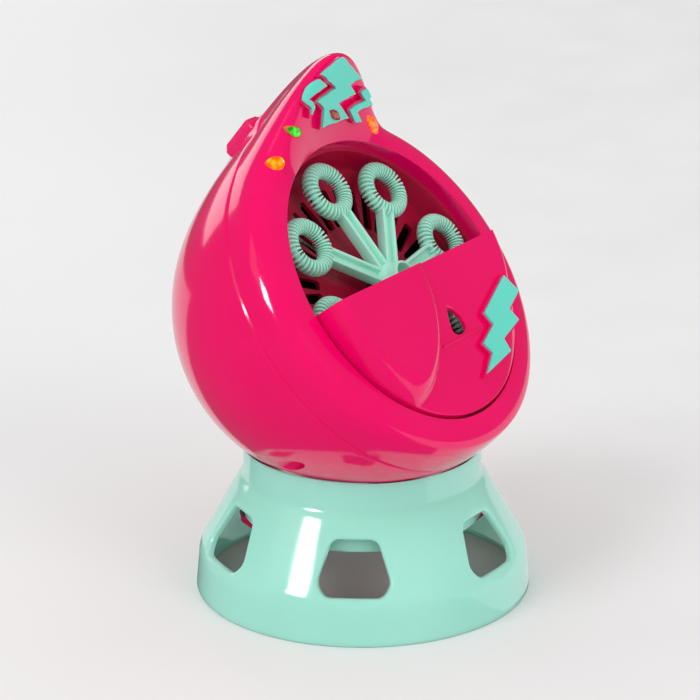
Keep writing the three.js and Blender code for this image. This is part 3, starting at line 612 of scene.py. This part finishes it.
def columns():
    return np.linspace(-180, 180, COLUMN_COUNT, endpoint=False)


def globe_solid(inset):
    """The globe as one closed solid, up to a plane a little in front of the seam."""
    beta = columns()
    rows = [head_points(beta, GLOBE_RADIUS - inset, 12, 0, inset)]
    rows += [back_points(beta, phi, inset) for phi in np.linspace(0, 89, 40)]
    return capped_loft("globe_solid", rows, HEAD)


def screw_place(beta, radius):
    a = math.radians(beta)
    return HEAD @ Matrix.Translation((radius * math.sin(a), radius * math.cos(a), 0))


def rod(name, radius, low, high, placement, segments=48):
    return flat_prism(name, circle(radius, segments), low, high, placement)


def circle(radius, segments):
    steps = [2 * math.pi * k / segments for k in range(segments)]
    return [Vector((radius * math.cos(a), radius * math.sin(a))) for a in steps]


def button_place():
    return HEAD @ Matrix.Translation((0, BUTTON["u"], BUTTON["d"])) @ rotation(-90 - BUTTON["lean"], "X")


def screw_wells():
    """The four screw wells as one solid, trimmed to the inside of the globe."""
    wells = None
    for place in SHELL_SCREWS:
        well = rod("well", SCREW_WELL["radius"], -70, SCREW_WELL["end"], screw_place(*place))
        wells = combine(wells, well, "UNION") if wells else well
    return combine(wells, globe_solid(0.3), "INTERSECT")


def build_back_shell():
    """The rear half of the globe, with its neck for the battery box and its screw wells."""
    beta = columns()
    edge = [back_points(beta, 0.3 * k, 0.45 - 0.15 * k) for k in range(3)]
    outer = edge + [back_points(beta, phi) for phi in np.linspace(0.9, 90, 70)]
    inner = [back_points(beta, phi, SHELL_WALL) for phi in np.linspace(90, 0, 40)]
    shell = loft("globe_back", outer + inner, HEAD, closed=True)
    combine(shell, screw_wells(), "UNION")
    outside = rounded_rectangle(NECK["width"], NECK["length"], NECK["corner"])
    combine(shell, flat_prism("neck", outside, NECK["low"], NECK["high"], STAND), "UNION")
    width, length = (NECK[side] - 2 * NECK["wall"] for side in ("width", "length"))
    inside = rounded_rectangle(width, length, NECK["corner"] - NECK["wall"])
    combine(shell, flat_prism("neck_hole", inside, *NECK_HOLE, STAND), "DIFFERENCE")
    for place in SHELL_SCREWS:
        placement = screw_place(*place)
        seat = SCREW_WELL["seat"]
        counterbore = rod("counterbore", SCREW_WELL["counterbore"], -75, seat, placement)
        combine(shell, counterbore, "DIFFERENCE")
        hole = rod("screw_hole", SCREW_WELL["hole"], seat - 2, 2, placement, 24)
        combine(shell, hole, "DIFFERENCE")
    slot = rounded_rectangle(BUTTON["width"] + 0.8, BUTTON["length"] + 0.8, 2.2)
    combine(shell, flat_prism("button_slot", slot, -14, 12, button_place()), "DIFFERENCE")
    finish_piece(tidy(shell), "pink_shell", replaces=["back_shell"], angle=32)


# Snap hooks: where they stand round the neck, half their width, and their side: [radius, height].
HOOK_ANGLES = (50, 130, -55, -125)
HOOK_HALF_WIDTH = 4
HOOK_SIDE = [
    (42.6, 63), (42.6, 58), (44.6, 54), (44.6, 27), (47.4, 27),
    (51.5, 30.6), (51.5, 32.6), (46.8, 32.6), (46.8, 61.5),
]


def build_snap_hooks():
    """Hooks under the globe that snap below the skirt of the stand."""
    for index, azimuth in enumerate(HOOK_ANGLES):
        placement = STAND @ rotation(azimuth, "Z") @ rotation(90, "X")
        side = rounded_outline(HOOK_SIDE, 0.8, 3)
        hook = flat_prism(f"snap_hook_{index + 1}", side, -HOOK_HALF_WIDTH, HOOK_HALF_WIDTH, placement)
        finish_piece(soften(hook, 0.5, 2), "pink_shell")


LIP_START = 0.972
LIP_TOP = 18.0
LIP_END = 15.6
LIP_WALL = 1.2


def front_shell_lip(beta):
    """Rows that round the skin over the lip of the mouth and down its wall."""
    start = front_section(beta, LIP_START, RIM, HOOD)
    corner = np.array([MOUTH_RADIUS, LIP_TOP])
    end = np.array([MOUTH_RADIUS, LIP_END])
    rows = []
    for s in np.linspace(0, 1, 8):
        mid = start * (1 - s) ** 2 + corner * 2 * s * (1 - s) + end * s ** 2
        rows.append(head_points(beta, mid[..., 0], mid[..., 1]))
    rows.append(head_points(beta, MOUTH_RADIUS, MOUTH_FLOOR))
    rows.append(head_points(beta, MOUTH_RADIUS + LIP_WALL, MOUTH_FLOOR))
    return rows


def build_front_shell():
    """The front half of the globe with the hood, from the seam over the rim into the mouth."""
    beta = columns()
    shares = np.linspace(0, 1, 90)
    outer = [front_points(beta, t) for t in shares[(shares > 0) & (shares < LIP_START)]]
    inner = [front_points(beta, t, RIM_INSIDE, HOOD_INSIDE) for t in np.linspace(1, 0, 40)]
    seam = front_section(beta, 0.0, RIM, HOOD)
    edge = []
    for back, ahead in ((0.45, 0), (0.15, 0.1)):
        edge.append(head_points(beta, seam[..., 0] - back, SEAM_GAP + ahead))
    shell = loft("globe_front", edge + outer + front_shell_lip(beta) + inner, HEAD, closed=True)
    finish_piece(shell, "pink_shell", replaces=["front_shell"], angle=32)


# ---------------------------------------------------------------- emblem on the hood

# Outlines laid on the hood: millimetres across it, and millimetres along it from the seam.
ACROSS_PER_DEGREE = 1.5
ALONG_PER_SHARE = 100
HOOD_BOLT = [
    (-13, 58.4), (-6.9, 60), (0.4, 59), (5.2, 64), (11, 66.3), (17.1, 66.6), (8.2, 72.1),
    (13.7, 73.8), (7.1, 76.1), (0.1, 77.1), (5.5, 79.5), (11.3, 81.6), (0, 82.6), (-12.6, 81.2),
    (-11.7, 75.4), (-17.5, 69.2), (-10, 71.8), (-3.1, 72.3), (-9.3, 67),
]
HOOD_SPARK_LEFT = [
    (-14.6, 59.1), (-13, 63.9), (-10, 68.5), (-15.3, 66.3), (-21.8, 60.7), (-18.8, 70),
    (-21.4, 71.2), (-21.2, 68), (-23.1, 61.5), (-23.3, 56.9), (-22, 55.6), (-19.6, 55.2), (-17.2, 56.6),
]
HOOD_SPARK_RIGHT = [
    (23, 66.9), (27.3, 66.8), (26, 69.2), (29.7, 69.4), (25.6, 73.9), (17.7, 78.8),
    (23.3, 81), (18.1, 82.4), (11.1, 79.3), (20.1, 74.9), (23.1, 72.5), (18, 71.9),
]
PAD_TOP = 2
PAD_BORDER = 0.8
PLATE_TOP = 3


def hood_point(across, along, height):
    """A point over the hood's skin, in the head's own frame."""
    here, _, _, outward = front_frame(across / ACROSS_PER_DEGREE, along / ALONG_PER_SHARE)
    return here + outward * height


def laid_on_hood(name, outline, low, high, cell=2.0):
    """A plate with the given outline that follows the hood's skin between two heights."""
    bm = bmesh.new()
    face = bm.faces.new([bm.verts.new((p[0], p[1], 0)) for p in outline])
    face.normal_update()
    bmesh.ops.triangulate(bm, faces=[face])
    spans = [(0, min(p[0] for p in outline), max(p[0] for p in outline))]
    spans.append((1, min(p[1] for p in outline), max(p[1] for p in outline)))
    for axis, first, last in spans:
        for value in np.arange(first + cell / 2, last, cell):
            place, normal = [0, 0, 0], [0, 0, 0]
            place[axis], normal[axis] = value, 1
            everything = bm.verts[:] + bm.edges[:] + bm.faces[:]
            bmesh.ops.bisect_plane(bm, geom=everything, plane_co=place, plane_no=normal, dist=1e-4)
    bm.verts.index_update()
    flat = [v.co.copy() for v in bm.verts]
    top_faces = [tuple(v.index for v in f.verts) for f in bm.faces]
    rim = [tuple(v.index for v in e.verts) for e in bm.edges if e.is_boundary]
    bm.free()
    points = [hood_point(p.x, p.y, height) for height in (low, high) for p in flat]
    count = len(flat)
    faces = [tuple(reversed(f)) for f in top_faces]
    faces += [tuple(i + count for i in f) for f in top_faces]
    faces += [(a, b, b + count, a + count) for a, b in rim]
    return tidy(mesh_object(name, points, faces, HEAD))


def build_emblem():
    """Three teal plates on the hood, each on a raised pink pad with a narrow border."""
    for name, outline in (
        ("hood_bolt", HOOD_BOLT),
        ("hood_spark_left", HOOD_SPARK_LEFT),
        ("hood_spark_right", HOOD_SPARK_RIGHT),
    ):
        border = rounded_outline(grown_outline(outline, PAD_BORDER), 0.6, 2)
        pad = laid_on_hood(name + "_pad", border, -1.5, PAD_TOP)
        finish_piece(soften(pad, 0.3, 2), "pink_shell", angle=50)
        plate = laid_on_hood(name + "_plate", rounded_outline(outline, 0.4, 2), PAD_TOP - 0.3, PLATE_TOP)
        finish_piece(soften(plate, 0.18, 2), "teal_emblem", replaces=[name], angle=50)


# ---------------------------------------------------------------- gems

# Pear-shaped stones: place on the hood, direction of the point in degrees, and size.
GEMS = {
    "green": {"beta": -20.9, "t": 0.655, "spin": 134, "length": 8, "width": 3.9},
    "amber": {"beta": -30.7, "t": 0.523, "spin": 112, "length": 6.8, "width": 5.2},
    "orange": {"beta": 24.9, "t": 0.747, "spin": 151, "length": 9.6, "width": 4.6},
}


RED_GEM = {"beta": -1.6, "t": 0.799, "spin": -36, "length": 9.4, "width": 3.3}


def pear_outline(length, width, steps=40):
    """A drop with its point along +X."""
    points = []
    for k in range(steps):
        a = 2 * math.pi * k / steps
        reach = math.cos(a)
        taper = math.sin(a) * math.sin((a if a < math.pi else 2 * math.pi - a) / 2) ** 0.5
        points.append(Vector((reach * length / 2, taper * width / 2 * 1.1)))
    return points


def almond_outline(length, width, steps=20):
    """Two equal arcs that meet in a point at each end."""
    half = []
    for k in range(steps):
        share = k / steps
        half.append((length * (share - 0.5), width / 2 * math.sin(math.pi * share)))
    return [Vector(p) for p in half] + [Vector((-x, -y)) for x, y in half]


def gem_place(beta, t, spin, lift=0.0):
    here, side, down, outward = front_frame(beta, t)
    basis = Matrix((side, -down, outward)).transposed().to_4x4()
    return HEAD @ Matrix.Translation(here + outward * lift) @ basis @ rotation(spin, "Z")


def gem_stone(name, outline, placement, height):
    """A cut stone: a girdle, a sloping crown and a flat table."""
    levels = [(0.92, -1.6), (1.0, 0.1), (0.9, height * 0.55), (0.62, height * 0.92), (0.45, height)]
    rows = [[(p.x * scale, p.y * scale, z) for p in outline] for scale, z in levels]
    return capped_loft(name, rows, placement)


def bezel_ring(name, outline, placement, width, height):
    """A thin ring that holds a stone; its width is a share of the stone's size."""
    levels = [(0.95, -1.4), (1.0, height), (1 + width * 0.4, height + 0.12)]
    levels += [(1 + width, height * 0.6), (1 + width * 1.2, -1.4)]
    rows = [[(p.x * scale, p.y * scale, z) for p in outline] for scale, z in levels]
    return loft(name, rows, placement, closed=True)


def build_gems():
    """Three lit drops on the hood's skin and a red almond on the emblem."""
    for name, gem in GEMS.items():
        outline = pear_outline(gem["length"], gem["width"])
        placement = gem_place(gem["beta"], gem["t"], gem["spin"])
        stone = gem_stone(f"gem_{name}_stone", outline, placement, 0.9)
        replaced = [f"gem_{name}", f"led_{name}"]
        finish_piece(stone, f"{name}_gem", replaces=replaced, angle=12)
        ring = bezel_ring(f"gem_{name}_bezel", outline, placement, 0.16, 0.35)
        # The amber and orange rings take their stone's glowing material: a painted glow of the stone's
        # light round it.
        finish_piece(ring, "pink_shell", material="bezel" if name == "green" else f"{name}_gem")
    placement = gem_place(RED_GEM["beta"], RED_GEM["t"], RED_GEM["spin"], PLATE_TOP + 0.1)
    outline = almond_outline(RED_GEM["length"], RED_GEM["width"])
    stone = gem_stone("gem_red_stone", outline, placement, 0.55)
    finish_piece(stone, "red_gem", replaces=["gem_red", "led_red"], angle=12)
    ring = bezel_ring("gem_red_bezel", outline, placement, 0.14, 0.3)
    # The red ring takes the red stone's glowing material: a painted glow of its light round it.
    finish_piece(ring, "red_gem")


# ---------------------------------------------------------------- wand chamber

AIR_SLOT = {"width": 4.4, "length": 17, "corner": 1.6, "middle": 40.5}
AIR_SLOT_ANGLES = range(-75, 76, 10)


def build_chamber():
    """The bowl behind the wheel; its flat back wall is slotted for the air."""
    profile = [(0, CHAMBER_FLOOR), (56, CHAMBER_FLOOR), (58.2, CHAMBER_FLOOR + 0.4)]
    profile += [(59.2, CHAMBER_FLOOR + 1.6), (60.8, 10.6), (61.2, 11.6), (62.2, 12), (66.3, 12)]
    profile += [(66.3, 10.8), (62.6, 10.8), (61.2, -1), (0, -1)]
    bowl = turned("chamber_bowl", profile, HEAD, 180)
    outline = rounded_rectangle(AIR_SLOT["width"], AIR_SLOT["length"], AIR_SLOT["corner"], 5)
    for angle in AIR_SLOT_ANGLES:
        placement = HEAD @ rotation(-angle, "Z") @ Matrix.Translation((0, AIR_SLOT["middle"], 0))
        combine(bowl, flat_prism("air_slot", outline, -3, 3, placement), "DIFFERENCE")
    shaft = HEAD @ Matrix.Translation((0, WHEEL["u"], 0))
    combine(bowl, rod("shaft_hole", SHAFT_HOLE_RADIUS, -3, 3, shaft), "DIFFERENCE")
    # Its darker pink is painted shade for the inside of the mouth.
    finish_piece(tidy(bowl), "wand_chamber_pink", replaces=["wand_chamber"], angle=30)


# ---------------------------------------------------------------- tank cover

COVER_SKIRT = 13.0


def cover_face(u):
    """Height of the cover's flat face above the seam plane."""
    return COVER["face"] + COVER["lean"] * (u - COVER["top"])


def cover_height(x, u):
    """Height of the cover's skin above the seam plane: flat face, bulge, rounded shoulder."""
    r = np.hypot(x - BULGE["x"], u - BULGE["u"])
    share = np.clip((r - BULGE["inner"]) / (BULGE["outer"] - BULGE["inner"]), 0, 1)
    top = cover_face(u) + BULGE["height"] * (1 - share ** 2) ** 0.6
    shoulder = 4 + 10 * smoothstep(-u, 5, 60)
    drop = np.minimum(shoulder, top - 18.8)
    inward = np.minimum(1, (COVER["radius"] - np.hypot(x, u)) / shoulder)
    return top - drop * (1 - np.sqrt(np.maximum(0, 1 - (1 - inward) ** 2)))


def cover_fan(radius, shares, lower):
    """Rows of points fanned out from the middle of the cover's straight top edge."""
    top = COVER["top"]
    rows = []
    for angle in np.linspace(math.pi, 2 * math.pi, 140):
        reach = math.sqrt(radius ** 2 - (top * math.cos(angle)) ** 2) - top * math.sin(angle)
        x = shares * reach * math.cos(angle)
        u = top + shares * reach * math.sin(angle)
        rows.append(np.stack([x, u, cover_height(x, u) - lower], -1))
    return rows


def build_tank_cover():
    """The front of the tank: a skin and a lining that meet along the rim and the top edge."""
    bend = np.sin(np.linspace(0, math.pi / 2, 64))
    outside = cover_fan(COVER["radius"], bend, 0)
    inside = cover_fan(COVER["radius"] - COVER["wall"], bend, COVER["wall"])
    rows = []
    for skin, lining in zip(outside, inside):
        skirt = [(*skin[-1][:2], COVER_SKIRT), (*lining[-1][:2], COVER_SKIRT)]
        rows.append(np.concatenate([skin, skirt, lining[::-1]]))
    count, width = len(rows), len(rows[0])
    faces = grid_faces(count, width)
    for first in (0, (count - 1) * width):
        for i in range(width // 2 - 1):
            faces.append((first + i, first + i + 1, first + width - 2 - i, first + width - 1 - i))
    points = np.array(rows).reshape(-1, 3)
    cover = tidy(mesh_object("tank_front", points, faces, HEAD))
    combine(cover, cover_window_cutter(), "DIFFERENCE")
    finish_piece(soften(tidy(cover), 0.3, 2, 50), "pink_shell", replaces=["tank_cover"], angle=40)


# Outlines drawn on the cover: millimetres across it and up it, from the middle of the face.
WINDOW_DROP = [
    (6.8, -18.6), (9.9, -20.8), (13, -25.6), (13.6, -29.4),
    (10.9, -31.2), (6.4, -30.9), (3.6, -28.9), (4.4, -24.3),
]
COVER_BOLT = [
    (48.6, -17.8), (54, -26.3), (42.2, -31.2), (45.4, -36.9), (30, -40.9), (31, -46.7),
    (9.6, -50.2), (19, -43.8), (15.8, -38.7), (27.6, -33.8), (25.2, -27.9),
]
LEVEL_LINE = [(-7.6, -33), (21.4, -33), (21.4, -32), (-7.6, -32)]


def on_cover(outline, low, high, name):
    """A straight solid drawn on the cover's leaning face."""
    rows = [[(p[0], p[1], cover_face(p[1]) + z) for p in outline] for z in (low, high)]
    return capped_loft(name, rows, HEAD)


def cover_window_cutter():
    """A drop-shaped cutter that flares outward, so that the window's edge is rounded."""
    rows = []
    for z, growth in ((-8, 0), (-0.9, 0), (-0.4, 0.15), (-0.1, 0.5), (0.3, 1.1), (2, 2.8)):
        edge = rounded_outline(grown_outline(WINDOW_DROP, growth), 1.6 + growth, 4)
        rows.append([(p.x, p.y, cover_face(p.y) + z) for p in edge])
    return capped_loft("window_drop", rows, HEAD)


def build_cover_trim():
    """The teal bolt on its pad, and the plain raised line that marks the level."""
    pad = on_cover(rounded_outline(grown_outline(COVER_BOLT, 1.0), 0.8, 3), -5, 1.7, "cover_bolt_pad")
    finish_piece(soften(pad, 0.35), "pink_shell")
    plate = on_cover(rounded_outline(COVER_BOLT, 0.5, 3), 1.4, 2.6, "cover_bolt_plate")
    finish_piece(soften(plate, 0.25), "teal_emblem", replaces=["cover_bolt"])
    line = on_cover(LEVEL_LINE, -1, 0.6, "level_line")
    finish_piece(soften(line, 0.18), "pink_shell")


# ---------------------------------------------------------------- wand wheel

FINS_PER_RING = 36
FIN_DEPTH = 1.7


def ring_points():
    """A bubble ring of thin fins standing round a slimmer core."""
    tube = WHEEL["tube"]
    core = tube - FIN_DEPTH
    section = np.linspace(0, 2 * math.pi, 20, endpoint=False)
    rows = []
    for fin in range(FINS_PER_RING):
        for share, radius in ((0, tube), (0.42, tube), (0.5, core), (0.92, core)):
            angle = 2 * math.pi * (fin + share) / FINS_PER_RING
            r = WHEEL["ring"] + radius * np.cos(section)
            x, y = r * math.cos(angle), r * math.sin(angle)
            rows.append(np.stack([x, y, radius * np.sin(section)], -1))
    return rows


def spoke_section():
    """A deep bar with a channel along its front: [across, depth]."""
    bar = [(-3.2, -2.4), (3.2, -2.4), (3.2, 2.4)]
    channel = [(1.7, 2.4), (1.5, 0.2), (-1.5, 0.2), (-1.7, 2.4)]
    return bar + channel + [(-3.2, 2.4)]


def build_wheel():
    centre = HEAD @ Matrix.Translation((0, WHEEL["u"], WHEEL["d"]))
    for index in range(WHEEL["count"]):
        turn = centre @ rotation(WHEEL["phase"] + index * 360 / WHEEL["count"], "Z")
        place = turn @ Matrix.Translation((0, WHEEL["pitch"], 0))
        ring = loft(f"wand_ring_{index + 1}", ring_points(), place, closed=True)
        finish_piece(ring, "mint_wheel", body="wheel", angle=45)
        reach = WHEEL["pitch"] - WHEEL["ring"] + 0.4
        rows = [[(x, y, z) for x, z in rounded_outline(spoke_section(), 0.35, 3)] for y in (4, reach)]
        spoke = capped_loft(f"wand_spoke_{index + 1}", rows, turn)
        finish_piece(spoke, "mint_wheel", body="wheel")
    disc = [(0, -3.6), (7.2, -3.6), (7.8, -3), (7.8, 2.4), (7.5, 3.2), (6.9, 3.6), (6.3, 3.8), (6, 4.2)]
    boss = [(5.9, 4.8), (5.8, 8.6), (5.6, 9.1), (5.2, 9.3), (4.6, 9.2), (4.4, 8.7), (4.2, 1), (0, 1)]
    hub = turned("wand_hub", disc + boss, centre, 72)
    finish_piece(hub, "mint_wheel", body="wheel", replaces=["wand_wheel"])


# ---------------------------------------------------------------- power button

def build_button():
    """A long push button on the ridge: three rounded steps, one on the other."""
    steps = [(0, 2, -6), (0, 2, 0.4), (0.2, 2, 0.7), (0.5, 1.9, 0.8), (1.2, 1.7, 0.8), (1.3, 1.6, 0.9)]
    steps += [(1.4, 1.6, 1.5), (1.6, 1.6, 1.8), (1.9, 1.5, 1.9), (2.6, 1.3, 1.9), (2.7, 1.2, 2)]
    steps += [(2.8, 1.2, 2.5), (3, 1.2, 2.8), (3.4, 1.1, 2.9)]
    rows = []
    for inset, corner, z in steps:
        edge = rounded_rectangle(BUTTON["width"] - inset, BUTTON["length"] - inset, corner)
        rows.append([(p.x, p.y, z) for p in edge])
    button = capped_loft("button_cap", rows, button_place())
    finish_piece(button, "pink_button", body="button", replaces=["power_button"], angle=40)


# ---------------------------------------------------------------- parts kept from the CAD

def dress_cad_nodes():
    """Every CAD node that is still shown gets its own slot's material and soft edges."""
    slots = {row["node"]: row["material_slot"] for row in frame["record"]["subparts"]}
    for name, obj in frame["nodes"].items():
        if obj.hide_render:
            continue
        slot = slots[name]
        obj.data.materials.clear()
        obj.data.materials.append(MATERIALS[slot])
        shade(obj, 30)
        soften(weld(obj), 0.2, 2)


# ---------------------------------------------------------------- stage, light and camera

def floor_material():
    m = Nodes("floor")
    m.join(m.blend(m.noise(3), srgb(241, 241, 241), srgb(238, 238, 238)), m.surface.inputs["Base Color"])
    m.join(m.remap(m.noise(20), 0.5, 0.6), m.surface.inputs["Roughness"])
    return m.material


ROOM_LIGHT = 0.79
ROOM_IN_REFLECTIONS = 0.12


def build_floor():
    half = 12
    mesh = bpy.data.meshes.new("floor")
    corners = [(-half, -half, 0), (half, -half, 0), (half, half, 0), (-half, half, 0)]
    mesh.from_pydata(corners, [], [(0, 1, 2, 3)])
    mesh.materials.append(floor_material())
    floor = bpy.data.objects.new("floor", mesh)
    bpy.context.scene.collection.objects.link(floor)
    floor.visible_glossy = False


def area_light(name, location, target, width, height, power, mirrored=False):
    """A soft box that lights the piece, or a card that only shows mirrored in its gloss."""
    light = bpy.data.lights.new(name, "AREA")
    light.shape = "RECTANGLE"
    light.size = width
    light.size_y = height
    light.energy = power
    obj = bpy.data.objects.new(name, light)
    obj.visible_glossy = mirrored
    obj.visible_diffuse = not mirrored
    obj.visible_camera = False
    obj.location = location
    obj.rotation_euler = (Vector(target) - Vector(location)).to_track_quat("-Z", "Y").to_euler()
    bpy.context.scene.collection.objects.link(obj)


def build_lights():
    """A pale room, dimmer in reflections than it is as light, three soft boxes and four cards."""
    world = bpy.data.worlds.new("studio")
    world.use_nodes = True
    nodes = world.node_tree.nodes
    links = world.node_tree.links
    rays = nodes.new("ShaderNodeLightPath")
    dim = nodes.new("ShaderNodeMapRange")
    dim.inputs["To Min"].default_value = ROOM_LIGHT
    dim.inputs["To Max"].default_value = ROOM_IN_REFLECTIONS
    links.new(rays.outputs["Is Glossy Ray"], dim.inputs["Value"])
    links.new(dim.outputs["Result"], nodes["Background"].inputs["Strength"])
    nodes["Background"].inputs["Color"].default_value = (1, 1, 1, 1)
    bpy.context.scene.world = world
    bpy.context.scene.view_settings.view_transform = "Standard"
    middle = (0, 0, 0.12)
    # name, place, target, width, height in metres, then watts
    area_light("key", (-5.6, 1.6, 6.0), middle, 3.3, 3.3, 165)
    area_light("front", (-1.2, -4.8, 3.2), middle, 2.8, 1.8, 60)
    area_light("backdrop", (2.4, 1.8, 0.8), middle, 3.2, 1.2, 3)
    area_light("strip_card", (-1.0, 0.25, 0.58), middle, 0.26, 0.3, 6, mirrored=True)
    area_light("rear_card", (1.4, 2.6, 0.8), middle, 2.6, 0.9, 11, mirrored=True)
    area_light("left_card", (-1.6, 1.2, 1.5), middle, 0.7, 1.2, 1.2, mirrored=True)
    area_light("floor_card", (1.0, -0.3, 0.002), (1.0, -0.3, 1), 2.0, 2.4, 9, mirrored=True)


# The photo's viewpoint: place in metres, direction, roll in radians and lens in millimetres.
CAMERA_PLACE = Vector((-1.002, -0.66476, 0.5183))
CAMERA_DIRECTION = Vector((0.7868, 0.5232, -0.3275))
CAMERA_ROLL = -0.00585
CAMERA_LENS = 158.64


def build_camera():
    camera = bpy.data.cameras.new("camera")
    camera.sensor_width = 36
    camera.lens = CAMERA_LENS
    camera.clip_end = 50
    obj = bpy.data.objects.new("camera", camera)
    forward = CAMERA_DIRECTION.normalized()
    turn = forward.to_track_quat("-Z", "Y").to_matrix().to_4x4()
    roll = Matrix.Rotation(CAMERA_ROLL, 4, "Z")
    obj.matrix_world = Matrix.Translation(CAMERA_PLACE) @ turn @ roll
    bpy.context.scene.collection.objects.link(obj)
    bpy.context.scene.camera = obj


build_stand()
build_back_shell()
build_snap_hooks()
build_front_shell()
build_emblem()
build_gems()
build_chamber()
build_tank_cover()
build_cover_trim()
build_wheel()
build_button()
dress_cad_nodes()
build_floor()
build_lights()
build_camera()
